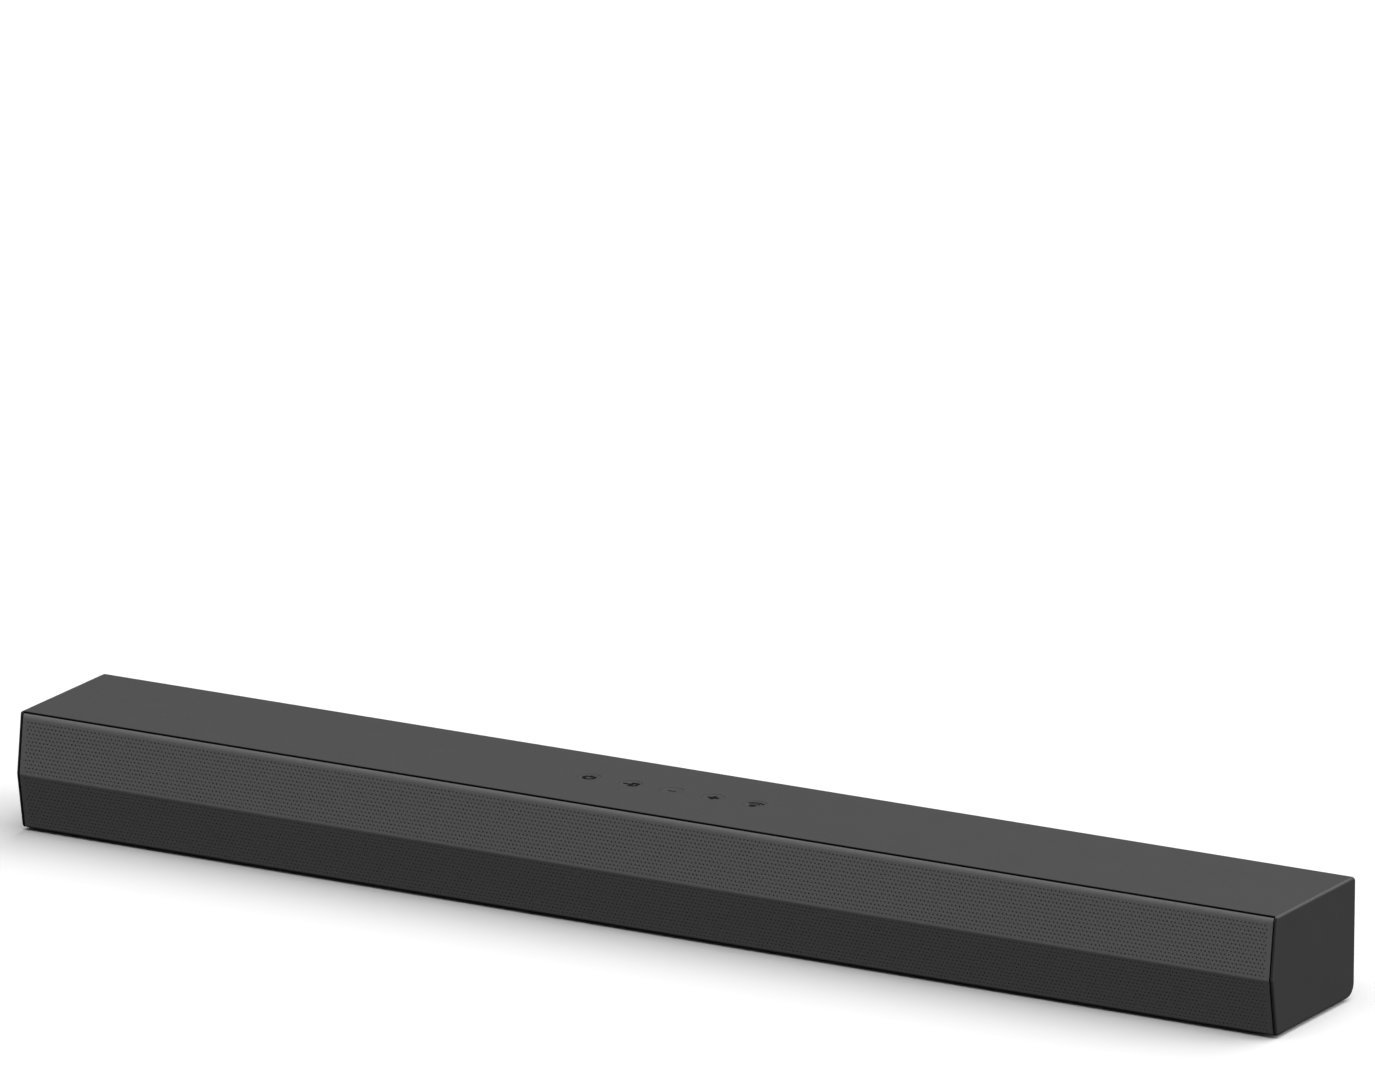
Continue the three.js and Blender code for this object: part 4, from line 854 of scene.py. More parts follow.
def mark_strokes(key):
    """The strokes of a key's mark about the key's middle, in millimetres: plain, common signs."""
    if key == "power":
        return [curve_points(2.7, 125, 415), straight_points((0, 0.6), (0, 3.6))]
    if key == "source":
        frame_line = [(-0.4, 2.3), (3.6, 2.3), (3.6, -2.3), (-0.4, -2.3)]
        sides = [straight_points(a, b) for a, b in zip(frame_line, frame_line[1:])]
        arrow = [straight_points((-4.2, 0), (1.4, 0)), straight_points((-0.2, 1.2), (1.4, 0))]
        return sides + arrow + [straight_points((-0.2, -1.2), (1.4, 0))]
    if key == "volume_down":
        return [straight_points((-2.3, 0), (2.3, 0))]
    if key == "volume_up":
        return [straight_points((-3.2, 0), (3.2, 0)), straight_points((0, -2.8), (0, 2.8))]
    waves = [curve_points(radius, 35, 145, middle=(0, -2.2)) for radius in (3.4, 5.4)]
    return waves + [curve_points(radius, 0, 360, 24, (0, -2.6)) for radius in (0.5, 1.4)]


def printed_mark(name, strokes, stroke_width, middle, top):
    """A mark as thin strips of ink that follow the dish of the key."""
    vertices, faces = [], []
    for stroke in strokes:
        rows = []
        for i, here in enumerate(stroke):
            before, after = stroke[max(i - 1, 0)], stroke[min(i + 1, len(stroke) - 1)]
            along = Vector((after[0] - before[0], after[1] - before[1])).normalized()
            aside = Vector((-along.y, along.x)) * stroke_width / 2
            row = []
            for side, rise in ((1, 1), (-1, 1), (-1, -1), (1, -1)):
                place = Vector(here) * mm + aside * side
                share = min(place.length / KEY_RADIUS, 1)
                height = top - KEY_DISH * (1 - share * share) + PRINT_RISE * rise
                row.append(len(vertices))
                vertices.append((middle[0] + place.x, middle[1] + place.y, height))
            rows.append(row)
        for one, two in zip(rows, rows[1:]):
            for k in range(4):
                faces.append((one[k], one[(k + 1) % 4], two[(k + 1) % 4], two[k]))
        faces += [tuple(rows[0]), tuple(rows[-1])]
    return new_piece(name, vertices, faces)


for key in KEYS:
    low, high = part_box(f"button_{key}")
    middle = (low + high) / 2
    top, skirt, edge = high.z, TOP - WALL - GAP, 0.12 * mm
    profile = [
        (0, low.z),
        (KEY_STEM_RADIUS - 0.3 * mm, low.z),
        (KEY_STEM_RADIUS, low.z + 0.3 * mm),
        (KEY_STEM_RADIUS, skirt - KEY_LIP - 0.6 * mm),
        (KEY_STEM_RADIUS + 0.6 * mm, skirt - KEY_LIP),
        (KEY_RADIUS + KEY_LIP_WIDTH, skirt - KEY_LIP),
        (KEY_RADIUS + KEY_LIP_WIDTH, skirt),
        (KEY_RADIUS, skirt),
        (KEY_RADIUS, top - edge),
    ]
    for k in range(1, 6):
        angle = math.pi / 2 * k / 5
        profile.append((KEY_RADIUS - edge * (1 - math.cos(angle)), top - edge * (1 - math.sin(angle))))
    dish_radius = KEY_RADIUS - edge
    for k in range(1, 9):
        share = 1 - k / 8
        profile.append((dish_radius * share, top - KEY_DISH * (1 - share * share)))
    cap = turned(f"key_cap_{key}", profile, 96, at=(middle.x, middle.y, 0))
    paint(smoothed(cap), hood_plastic)
    mark = printed_mark(f"key_mark_{key}", mark_strokes(key), STROKES[key] * mm, middle, top)
    paint(mark, print_ink)
    for piece in (cap, mark):
        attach(piece, f"key_{key}")
    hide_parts(f"button_{key}")

# ---------------------------------------------------------------------------
# Connector bay: a black tub that fills the opening in the back. Its rim lies inside the back wall,
# where the hood's hooks hold it, and the sockets look out through its back wall.
# ---------------------------------------------------------------------------
bay_plastic = textured_plastic("bay_plastic", 0.016, 0.5, 0.3 * mm, 0.025 * mm)

BAY_SEAT = bay_low.y + BAY_WALL  # the face that the sockets look out of
BAY_LIP = 0.6 * mm
RIM_CORNER = 3 * mm
RIM_EDGE = 0.3 * mm


def tub(name, steps):
    """A solid lofted along Y through sections of (half width, floor, roof, radius, y)."""
    rings = []
    for half, floor, roof, radius, y in steps:
        outline = rounded_rectangle(2 * half, roof - floor, radius)
        rings.append([(x, y, z + (floor + roof) / 2) for x, z in outline])
    return lofted(name, rings)


def bay_tub(name, steps):
    """A tub of the bay's own outline, grown on all sides, from (growth, radius, y) steps."""
    grown = []
    for grow, radius, y in steps:
        grown.append((BAY_HALF + grow, BAY_FLOOR - grow, BAY_ROOF + grow, radius, y))
    return tub(name, grown)


bay = bay_tub(
    "connector_tub",
    [
        (BAY_WALL - BAY_LIP, BAY_CORNER, bay_low.y),
        (BAY_WALL, BAY_CORNER + BAY_LIP, bay_low.y + BAY_LIP),
        (BAY_WALL, BAY_CORNER + BAY_LIP, bay_high.y),
    ],
)
rim_steps = []
for inset, y in ((0, bay_high.y - BAY_WALL), (0, bay_high.y - RIM_EDGE), (RIM_EDGE, bay_high.y)):
    rim_steps.append(
        (bay_high.x - inset, bay_low.z + inset, bay_high.z - inset, RIM_CORNER, y)
    )
boolean(bay, [tub("rim", rim_steps)], "UNION")

INLET_WIDTH, INLET_HEIGHT = 17 * mm, 9 * mm
PANEL_BORDER = 1.4 * mm
PANEL_DEPTH = 0.35 * mm
room_steps = [
    (-BAY_LIP, BAY_CORNER, BAY_SEAT),
    (-BAY_LIP * 0.3, BAY_CORNER, BAY_SEAT + BAY_LIP * 0.3),
    (0, BAY_CORNER, BAY_SEAT + BAY_LIP),
    (0, BAY_CORNER, bay_high.y + BEYOND),
]
bay_cuts = [bay_tub("room", room_steps)]
for name in ("power_inlet", "video_socket", "optical_socket", "data_socket"):
    low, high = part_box(name)
    middle = (low + high) / 2
    half = Vector((high.x - low.x, 0, high.z - low.z)) / 2
    if name == "power_inlet":
        half = Vector((INLET_WIDTH, 0, INLET_HEIGHT)) / 2
    outline = rounded_rectangle(2 * (half.x + GAP), 2 * (half.z + GAP), 0.4 * mm, 4)
    sections = [(outline, y) for y in (bay_low.y - BEYOND, BAY_SEAT + BEYOND)]
    bay_cuts.append(along_y("socket_room", sections, middle.x, middle.z))
    # A shallow sunk panel frames each signal socket, as the plug's own moulding needs.
    if name != "power_inlet":
        width, height = 2 * (half.x + PANEL_BORDER), 2 * (half.z + PANEL_BORDER)
        panel = rounded_rectangle(width, height, 1.2 * mm, 6)
        sections = [(panel, y) for y in (BAY_SEAT - PANEL_DEPTH, BAY_SEAT + BEYOND)]
        bay_cuts.append(along_y("sunk_panel", sections, middle.x, middle.z))
boolean(bay, bay_cuts, "DIFFERENCE")

# Stiffening ribs across the tub's floor and roof, rooted in its walls.
RIB_HALF = 0.4 * mm
RIB_RISE = 0.5 * mm
RIB_ROOT = 0.3 * mm
bay_ribs = []
for share in (-0.46, -0.18, 0.06, 0.3):
    x = share * 2 * BAY_HALF + 1 * mm
    for z0, z1 in (
        (BAY_FLOOR - RIB_ROOT, BAY_FLOOR + RIB_RISE),
        (BAY_ROOF - RIB_RISE, BAY_ROOF + RIB_ROOT),
    ):
        start, end = BAY_SEAT - RIB_ROOT, bay_high.y - 2 * mm
        bay_ribs.append(block("rib", (x - RIB_HALF, start, z0), (x + RIB_HALF, end, z1)))
boolean(bay, bay_ribs, "UNION")
paint(smoothed(bay), bay_plastic)
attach(bay, "cabinet")
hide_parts("connector_bay")

# ---------------------------------------------------------------------------
# Video and data sockets: folded tin-plated shells round a black tongue that carries the contacts.
# They are soldered to the main board and look out 1 mm into the bay.
# ---------------------------------------------------------------------------
finish = Finish("tin_plated_steel", 1.0)
streak = finish.streaks((300, 6000, 6000), 4.0)
shell_metal = finish.coat(
    finish.mixed(finish.noise(240.0, 5.0), (0.50, 0.49, 0.47, 1), (0.62, 0.62, 0.60, 1)),
    finish.between(streak, 0.3, 0.7, 0.24, 0.42),
    streak,
)

tongue_plastic = textured_plastic("tongue_plastic", 0.02, 0.38, 0.25 * mm, 0.01 * mm)

finish = Finish("contact_gold", 1.0)
wear = finish.noise(900.0, 4.0)
contact_gold = finish.coat(
    finish.mixed(wear, (0.62, 0.42, 0.16, 1), (0.76, 0.56, 0.24, 1)),
    finish.between(wear, 0.3, 0.7, 0.2, 0.38),
)

SHELL_SKIN = 0.5 * mm
SHELL_BACK = 1.5 * mm  # how thick a shell is closed at its back
SHELL_CORNER = 0.6 * mm
FINGER_HALF = 1.1 * mm
SLOT_HALF = 0.15 * mm
TONGUE_EDGE = 0.2 * mm
# name: tongue width, thickness, height over the middle, number of contacts, bottom corners cut in
SHELLS = {
    "video_socket": (10.6 * mm, 1.0 * mm, 0.4 * mm, 10, 1.6 * mm),
    "data_socket": (11.0 * mm, 1.8 * mm, 1.3 * mm, 4, 0.0),
}


def shell_outline(low, high, inset, cut_in):
    """A shell's outline in X and Z; the video socket's lower corners are cut in."""
    corner, rise = SHELL_CORNER, cut_in * 0.95
    x0, x1 = low.x + inset, high.x - inset
    z0, z1 = low.z + inset, high.z - inset
    if not cut_in:
        middle = (low + high) / 2
        points = rounded_rectangle(x1 - x0, z1 - z0, corner, 4)
        return [(x + middle.x, z + middle.z) for x, z in points]
    return [
        (x0, z1 - corner), (x0 + corner * 0.3, z1 - corner * 0.3), (x0 + corner, z1),
        (x1 - corner, z1), (x1 - corner * 0.3, z1 - corner * 0.3), (x1, z1 - corner),
        (x1, z0 + rise), (x1 - cut_in, z0), (x0 + cut_in, z0), (x0, z0 + rise),
    ]


for name, (tongue_width, tongue_thickness, tongue_height, contacts, cut_in) in SHELLS.items():
    low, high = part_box(name)
    middle = (low + high) / 2
    runs = []
    for label, inset, y0, y1 in (
        (f"{name}_shell", 0, low.y, high.y),
        ("mouth", SHELL_SKIN, low.y + SHELL_BACK, high.y + BEYOND),
        ("flare", SHELL_SKIN * 0.5, high.y - 0.35 * mm, high.y + BEYOND),
    ):
        outline = shell_outline(low, high, inset, cut_in)
        runs.append(along_y(label, [(outline, y0), (outline, y1)]))
    shell, *mouths = runs
    boolean(shell, mouths, "DIFFERENCE")
    # Two sprung fingers are cut through the top of the shell.
    slots = []
    for share in (-0.24, 0.24):
        finger = middle.x + share * (high.x - low.x)
        for x, half, start, end in (
            (finger - FINGER_HALF, SLOT_HALF, 9 * mm, 3.4 * mm),
            (finger + FINGER_HALF, SLOT_HALF, 9 * mm, 3.4 * mm),
            (finger, FINGER_HALF + 0.1 * mm, 9.3 * mm, 9 * mm),
        ):
            back_end = (x - half, high.y - start, high.z - 2 * SHELL_SKIN)
            slots.append(block("slot", back_end, (x + half, high.y - end, high.z + BEYOND)))
    boolean(shell, slots, "DIFFERENCE")
    paint(smoothed(shell), shell_metal)
    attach(shell, "cabinet")

    tongue_low = middle.z + tongue_height - tongue_thickness / 2
    tongue_high = tongue_low + tongue_thickness
    root, tip = low.y + SHELL_BACK, high.y - 1.2 * mm
    profile = [
        (root, tongue_low), (tip, tongue_low), (tip + TONGUE_EDGE, tongue_low + TONGUE_EDGE),
        (tip + TONGUE_EDGE, tongue_high - TONGUE_EDGE), (tip, tongue_high), (root, tongue_high),
    ]
    ends = (middle.x - tongue_width / 2, middle.x + tongue_width / 2)
    tongue = along_x(f"{name}_tongue", profile, *ends)
    paint(smoothed(tongue), tongue_plastic)
    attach(tongue, "cabinet")

    pitch = (tongue_width - 1 * mm) / contacts
    rear, under, face = low.y + 2 * mm, tongue_low + 0.05 * mm, tongue_low - 0.16 * mm
    profile = [(rear, under), (high.y - 2.2 * mm, under), (high.y - 2.6 * mm, face), (rear, face)]
    strips = []
    for k in range(contacts):
        x = middle.x + (k - (contacts - 1) / 2) * pitch
        strips.append(along_x("strip", profile, x - pitch * 0.28, x + pitch * 0.28))
    contact_row = strips[0]
    contact_row.name = f"{name}_contacts"
    boolean(contact_row, strips[1:], "UNION")
    paint(smoothed(contact_row), contact_gold)
    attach(contact_row, "cabinet")
    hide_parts(name)

# ---------------------------------------------------------------------------
# Optical socket: a black moulded block with a square well and a lens at its back. Its sprung
# shutter hangs on a pin across the top of the well and swings inwards when a plug comes in.
# ---------------------------------------------------------------------------
optical_low, optical_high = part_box("optical_socket")
optical_middle = (optical_low + optical_high) / 2
WELL, WELL_DEPTH = 8.4 * mm, 10 * mm
WELL_EDGE = 0.3 * mm
WELL_BACK = optical_high.y - WELL_DEPTH
optical = block("optical_block", optical_low, optical_high)
well = []
for grow, y in (
    (0, WELL_BACK),
    (0, optical_high.y - 0.5 * mm),
    (WELL_EDGE * 0.3, optical_high.y - WELL_EDGE * 0.5),
    (WELL_EDGE, optical_high.y),
    (WELL_EDGE, optical_high.y + BEYOND),
):
    well.append((rounded_rectangle(WELL + 2 * grow, WELL + 2 * grow, 0.5 * mm + grow, 5), y))
shutter_low, shutter_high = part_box("optical_shutter")
HINGE = Vector((optical_middle.x, (shutter_low.y + shutter_high.y) / 2, shutter_high.z - 0.6 * mm))
pivot_end = WELL / 2 + 0.8 * mm
optical_axis = (optical_middle.x, 0, optical_middle.z)
lens_room = rod(1.6 * mm, WELL_BACK - 2 * mm, WELL_BACK + BEYOND)
optical_tools = [
    along_y("well", well, optical_middle.x, optical_middle.z),
    turned("pivot_room", rod(0.7 * mm, -pivot_end, pivot_end), 24, "X", HINGE),
    turned("lens_room", lens_room, 32, "Y", optical_axis),
]
boolean(optical, optical_tools, "DIFFERENCE")
paint(smoothed(optical), tongue_plastic)
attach(optical, "cabinet")
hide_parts("optical_socket")

finish = Finish("lens_plastic")
haze = finish.noise(1500.0, 3.0)
lens_glass = finish.coat(
    finish.mixed(haze, (0.20, 0.02, 0.02, 1), (0.30, 0.04, 0.03, 1)),
    finish.between(haze, 0.3, 0.7, 0.06, 0.18),
)
lens_back = WELL_BACK - 1.9 * mm
lens_profile = [
    (0, lens_back),
    (1.5 * mm, lens_back),
    (1.5 * mm, lens_back + 1.2 * mm),
    (1.2 * mm, lens_back + 1.6 * mm),
    (0.7 * mm, lens_back + 1.85 * mm),
    (0, lens_back + 1.95 * mm),
]
lens = turned("optical_lens", lens_profile, 40, "Y", optical_axis)
paint(smoothed(lens, 50), lens_glass)
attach(lens, "cabinet")

PLATE_HALF = 3.8 * mm
PLATE_SKIN = 0.4 * mm  # half the plate's thickness
HINGE_PIN, HINGE_PIN_EDGE = 0.6 * mm, 0.1 * mm
plate_drop = shutter_low.z - HINGE.z
plate_face = [
    (-PLATE_SKIN, plate_drop + 0.3 * mm),
    (-0.15 * mm, plate_drop),
    (0.15 * mm, plate_drop),
    (PLATE_SKIN, plate_drop + 0.3 * mm),
    (PLATE_SKIN, 0.3 * mm),
    (-PLATE_SKIN, 0.3 * mm),
]
plate = [(y + HINGE.y, z + HINGE.z) for y, z in plate_face]
shutter = along_x("shutter_plate", plate, HINGE.x - PLATE_HALF, HINGE.x + PLATE_HALF)
shutter_pin = [
    (0, shutter_low.x),
    (HINGE_PIN - HINGE_PIN_EDGE, shutter_low.x),
    (HINGE_PIN, shutter_low.x + HINGE_PIN_EDGE),
    (HINGE_PIN, shutter_high.x - HINGE_PIN_EDGE),
    (HINGE_PIN - HINGE_PIN_EDGE, shutter_high.x),
    (0, shutter_high.x),
]
boolean(shutter, [turned("pin", shutter_pin, 24, "X", (0, HINGE.y, HINGE.z))], "UNION")
dimple = rounded_rectangle(4.6 * mm, 4.2 * mm, 0.8 * mm, 5)
dimple_face = HINGE.y + PLATE_SKIN
sections = [(dimple, y) for y in (dimple_face - 0.2 * mm, dimple_face + BEYOND)]
tool = along_y("dimple", sections, HINGE.x, HINGE.z + plate_drop / 2)
boolean(shutter, [tool], "DIFFERENCE")
paint(smoothed(shutter), bay_plastic)
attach(shutter, "shutter")
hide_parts("optical_shutter")

# ---------------------------------------------------------------------------
# Mains inlet: a black two-pin inlet for a figure-eight plug. It snaps into the bay's back wall
# behind its flange, and its two plated pins reach back to the power board's lead.
# ---------------------------------------------------------------------------
inlet_plastic = textured_plastic("inlet_plastic", 0.014, 0.34, 0.35 * mm, 0.008 * mm)
inlet_low, inlet_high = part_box("power_inlet")
inlet = Vector(((inlet_low.x + inlet_high.x) / 2, bay_low.y, (inlet_low.z + inlet_high.z) / 2))
INLET_MOUTH_RADIUS = 3.4 * mm
INLET_PIN_HALF = 4.3 * mm
INLET_WAIST = 0.75 * mm
FLANGE_FACE = inlet_high.y
flange_width, flange_height = inlet_high.x - inlet_low.x, inlet_high.z - inlet_low.z
inlet_body = block(
    "mains_inlet",
    (inlet.x - INLET_WIDTH / 2, inlet_low.y, inlet.z - INLET_HEIGHT / 2),
    (inlet.x + INLET_WIDTH / 2, FLANGE_FACE - 1 * mm, inlet.z + INLET_HEIGHT / 2),
)
flange = []
for inset, y in (
    (0, BAY_SEAT + SEAT),
    (0, FLANGE_FACE - 0.35 * mm),
    (0.12 * mm, FLANGE_FACE - 0.1 * mm),
    (0.4 * mm, FLANGE_FACE),
):
    width, height = flange_width - 2 * inset, flange_height - 2 * inset
    flange.append((rounded_rectangle(width, height, 3 * mm - inset, 8), y))
boolean(inlet_body, [along_y("flange", flange, inlet.x, inlet.z)], "UNION")


def figure_eight(grow):
    """The inlet's mouth in X and Z: two round ends with a waist between them."""
    points = []
    radius = INLET_MOUTH_RADIUS + grow
    reach = math.asin((radius - INLET_WAIST) / (radius + 1.5 * mm))
    for side in (1, -1):
        for k in range(17):
            angle = (-math.pi + reach) + (2 * math.pi - 2 * reach) * k / 16
            x = side * INLET_PIN_HALF * 0.94 + side * radius * math.cos(angle)
            points.append((x, side * radius * math.sin(angle)))
    return points


mouth = []
for grow, y in (
    (0, FLANGE_FACE - 14 * mm),
    (0, FLANGE_FACE - 0.4 * mm),
    (0.12 * mm, FLANGE_FACE - 0.1 * mm),
    (0.35 * mm, FLANGE_FACE),
    (0.35 * mm, FLANGE_FACE + BEYOND),
):
    mouth.append((figure_eight(grow), y))
inlet_tools = [along_y("mouth", mouth, inlet.x, inlet.z)]
bore = rod(1.5 * mm, inlet_low.y - BEYOND, FLANGE_FACE - 12 * mm)
for side in (-1, 1):
    axis = (inlet.x + side * INLET_PIN_HALF, 0, inlet.z)
    inlet_tools.append(turned("pin_room", bore, 32, "Y", axis))
boolean(inlet_body, inlet_tools, "DIFFERENCE")
paint(smoothed(inlet_body), inlet_plastic)
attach(inlet_body, "cabinet")
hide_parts("power_inlet")

finish = Finish("plated_brass", 1.0)
turning = finish.streaks((1200, 9000, 1200), 3.0)
tarnish = finish.between(finish.noise(500.0, 6.0), 0.45, 0.75, 0, 1)
plated_brass = finish.coat(
    finish.mixed(tarnish, (0.60, 0.52, 0.36, 1), (0.42, 0.33, 0.19, 1)),
    finish.between(turning, 0.3, 0.7, 0.2, 0.4),
    turning,
)
PIN_RADIUS = 1.2 * mm
for side in ("left", "right"):
    low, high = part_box(f"power_pin_{side}")
    x = (low.x + high.x) / 2
    profile = [(0, low.y), (PIN_RADIUS * 0.8, low.y), (PIN_RADIUS, low.y + 0.3 * mm)]
    for k in range(9):
        angle = math.pi / 2 * k / 8
        radius = PIN_RADIUS * (0.35 + 0.65 * math.cos(angle)) if k < 8 else 0
        profile.append((radius, high.y - PIN_RADIUS * 0.8 + PIN_RADIUS * 0.8 * math.sin(angle)))
    pin = turned(f"inlet_pin_{side}", profile, 32, "Y", (x, 0, inlet.z))
    paint(smoothed(pin, 50), plated_brass)
    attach(pin, "cabinet")
    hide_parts(f"power_pin_{side}")

# ---------------------------------------------------------------------------
# Wall-mount inserts: knurled brass sleeves set into seats in the back wall. Each has a plain
# 5 mm bore for the bracket's screw and a chamfered mouth.
# ---------------------------------------------------------------------------
INSERT_BORE = 2.5 * mm
KNURL_GROOVES = 24
for name in INSERTS:
    low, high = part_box(name)
    middle = (low + high) / 2
    outside = (high.x - low.x) / 2
    profile = [
        (INSERT_BORE, low.y),
        (outside - 0.4 * mm, low.y),
        (outside, low.y + 0.4 * mm),
        (outside, high.y - 0.3 * mm),
        (outside - 0.3 * mm, high.y),
        (INSERT_BORE + 0.5 * mm, high.y),
        (INSERT_BORE, high.y - 0.5 * mm),
        (INSERT_BORE, low.y),
    ]
    sleeve = turned(f"{name}_sleeve", profile, 72, "Y", (middle.x, 0, middle.z))
    groove = rod(0.22 * mm, low.y + 0.8 * mm, high.y - 0.9 * mm)
    radius = outside + 0.05 * mm
    grooves = []
    for k in range(KNURL_GROOVES):
        angle = 2 * math.pi * k / KNURL_GROOVES
        axis = (middle.x + radius * math.cos(angle), 0, middle.z + radius * math.sin(angle))
        grooves.append(turned("groove", groove, 6, "Y", axis))
    boolean(sleeve, grooves, "DIFFERENCE")
    paint(smoothed(sleeve), plated_brass)
    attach(sleeve, "cabinet")
    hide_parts(name)

# ---------------------------------------------------------------------------
# Cabinet screws: six black-oxide pan heads that go up through the tray into the hood's bosses.
# Each has a cross recess and a shank with rolled threads.
# ---------------------------------------------------------------------------
finish = Finish("black_oxide_steel", 1.0)
oxide = finish.noise(1100.0, 5.0)
black_steel = finish.coat(
    finish.mixed(finish.between(oxide, 0.55, 0.75, 0, 1), grey(0.035), grey(0.12)),
    finish.between(oxide, 0.3, 0.7, 0.32, 0.5),
    oxide,
)
THREAD_PITCH = 1.1 * mm
CROWN = 0.5 * mm
for name in SCREWS:
    low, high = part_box(name)
    x, y = (low.x + high.x) / 2, (low.y + high.y) / 2
    head_radius = (high.x - low.x) / 2
    head_top = low.z + SCREW_HEAD
    profile = [(0, low.z)]
    for k in range(7):
        angle = math.pi / 2 * k / 6
        radius = head_radius * (0.72 + 0.28 * math.sin(angle))
        profile.append((radius, low.z + CROWN * (1 - math.cos(angle))))
    profile += [
        (head_radius, head_top - 0.05 * mm),
        (head_radius - 0.05 * mm, head_top),
        (SCREW_RADIUS, head_top),
    ]
    z = head_top + 1.2 * mm
    while z < high.z - 2.4 * mm:
        profile += [(SCREW_RADIUS * 0.82, z), (SCREW_RADIUS, z + THREAD_PITCH * 0.4)]
        z += THREAD_PITCH
    profile += [(SCREW_RADIUS * 0.8, z), (SCREW_RADIUS * 0.25, high.z - 0.1 * mm), (0, high.z)]
    screw = turned(f"{name}_pan_head", profile, 40, at=(x, y, 0))
    recess = [
        block("recess", (x - a, y - b, low.z - 1 * mm), (x + a, y + b, low.z + 0.55 * mm))
        for a, b in ((1.6 * mm, 0.3 * mm), (0.3 * mm, 1.6 * mm))
    ]
    boolean(screw, recess, "DIFFERENCE")
    paint(smoothed(screw), black_steel)
    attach(screw, "cabinet")
    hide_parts(name)

# ---------------------------------------------------------------------------
# Inner front: a black glass-filled moulding behind the grille. It carries the drivers, the chamber
# walls and the rib that backs the grille's fold, and is glued round its edge to the hood.
# ---------------------------------------------------------------------------
baffle_plastic = textured_plastic("baffle_plastic", 0.013, 0.55, 0.4 * mm, 0.03 * mm)


def dressed(name, material):
    """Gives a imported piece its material."""
    paint(nodes[name], material)


dressed("front_baffle", baffle_plastic)

# ---------------------------------------------------------------------------
# Drivers: two racetrack units screwed to the inner front through foam gaskets. Each has a pressed
# steel basket, a rubber surround, a paper cone, a centring disc, a coil, a magnet and a yoke.
# ---------------------------------------------------------------------------
finish = Finish("pressed_steel", 1.0)
haze = finish.noise(700.0, 6.0)
pressed_steel = finish.coat(
    finish.mixed(haze, grey(0.30, 1.03), grey(0.44, 1.02)),
    finish.between(finish.texture("Voronoi", 380.0), 0, 1, 0.3, 0.5),
    haze,
    0.25,
)


def fibrous(name, dark, light, roughness, fibre_size, depth):
    """Pressed fibres, as in paper and treated cloth: fine strands over a slow mottle."""
    finish = Finish(name)
    strands = finish.noise(1 / fibre_size, 8.0, Distortion=1.4)
    tone = finish.mixed(finish.between(strands, 0.35, 0.65, 0, 1), dark, light)
    mottle = finish.between(finish.noise(180.0, 3.0), 0.4, 0.7, 0, 0.3)
    rough = finish.between(strands, 0.3, 0.7, roughness, roughness + 0.1)
    return finish.coat(finish.mixed(mottle, tone, dark), rough, strands, 0.5, depth)


tan_dark, tan_light = (0.22, 0.13, 0.04, 1), (0.42, 0.27, 0.10, 1)
cone_paper = fibrous("cone_paper", grey(0.012), grey(0.03), 0.8, 0.7 * mm, 0.06 * mm)
spider_cloth = fibrous("spider_cloth", tan_dark, tan_light, 0.85, 0.4 * mm, 0.05 * mm)
gasket_foam = fibrous("gasket_foam", grey(0.015), grey(0.035), 0.9, 0.5 * mm, 0.1 * mm)
surround_rubber = textured_plastic("surround_rubber", 0.012, 0.5, 0.5 * mm, 0.015 * mm)

finish = Finish("magnet_ferrite")
grain = finish.noise(2200.0, 4.0)
magnet_ferrite = finish.coat(
    finish.mixed(grain, grey(0.022), grey(0.05)),
    finish.between(finish.texture("Voronoi", 260.0), 0, 0.6, 0.42, 0.62),
    grain,
    0.4,
    0.03 * mm,
)

finish = Finish("coil_copper", 1.0)
dull = finish.noise(900.0, 5.0)
coil_copper = finish.coat(
    finish.mixed(dull, (0.42, 0.14, 0.05, 1), (0.62, 0.24, 0.10, 1)),
    finish.between(dull, 0.3, 0.7, 0.25, 0.42),
    finish.texture("Wave", 900.0, {"bands_direction": "Y"}, 1, Distortion=0.3),
    0.7,
    0.08 * mm,
)

FLANGE_FRONT = -33 * mm
DRIVER_HEIGHT_MIDDLE = (FLOOR_TOP + INNER_TOP) / 2
DRIVER_STRETCH = 28 * mm
NECK_DEPTH = 10 * mm
BASKET_STRAIGHT = 3 * mm
FLANGE_RADIUS, FLANGE_THICK = 22 * mm, 1.2 * mm
EDGE_RADIUS = 19.4 * mm
CONE_RADIUS = 15 * mm
COIL_RADIUS = 7.6 * mm
CAN_RADIUS = 17.5 * mm
PLATE_DEPTH = 19 * mm
MAGNET_RADIUS = 16 * mm
MAGNET_FRONT, MAGNET_BACK = 22.1 * mm, 31.1 * mm


def racetrack(name, profile, x, straight=0.0, sides=96):
    """A turned piece drawn out along X: full length at the front, round from the neck back."""
    piece = turned(name, profile, sides, "Y")
    for vertex in piece.data.vertices:
        share = (NECK_DEPTH - vertex.co.y) / (NECK_DEPTH - straight)
        share = min(max(share, 0), 1)
        if abs(vertex.co.x) > 1e-6:
            vertex.co.x += math.copysign(share * DRIVER_STRETCH, vertex.co.x)
    piece.data.transform(Matrix.Translation((x, FLANGE_FRONT, DRIVER_HEIGHT_MIDDLE)))
    return piece


def rolled(radius, centre, start, end, steps, squash=1.0):
    """Points along a half round, from one angle to another in degrees."""
    points = []
    for k in range(steps + 1):
        angle = math.radians(start + (end - start) * k / steps)
        along, rise = radius * math.cos(angle), radius * squash * math.sin(angle)
        points.append((centre[0] - along, centre[1] - rise))
    return points


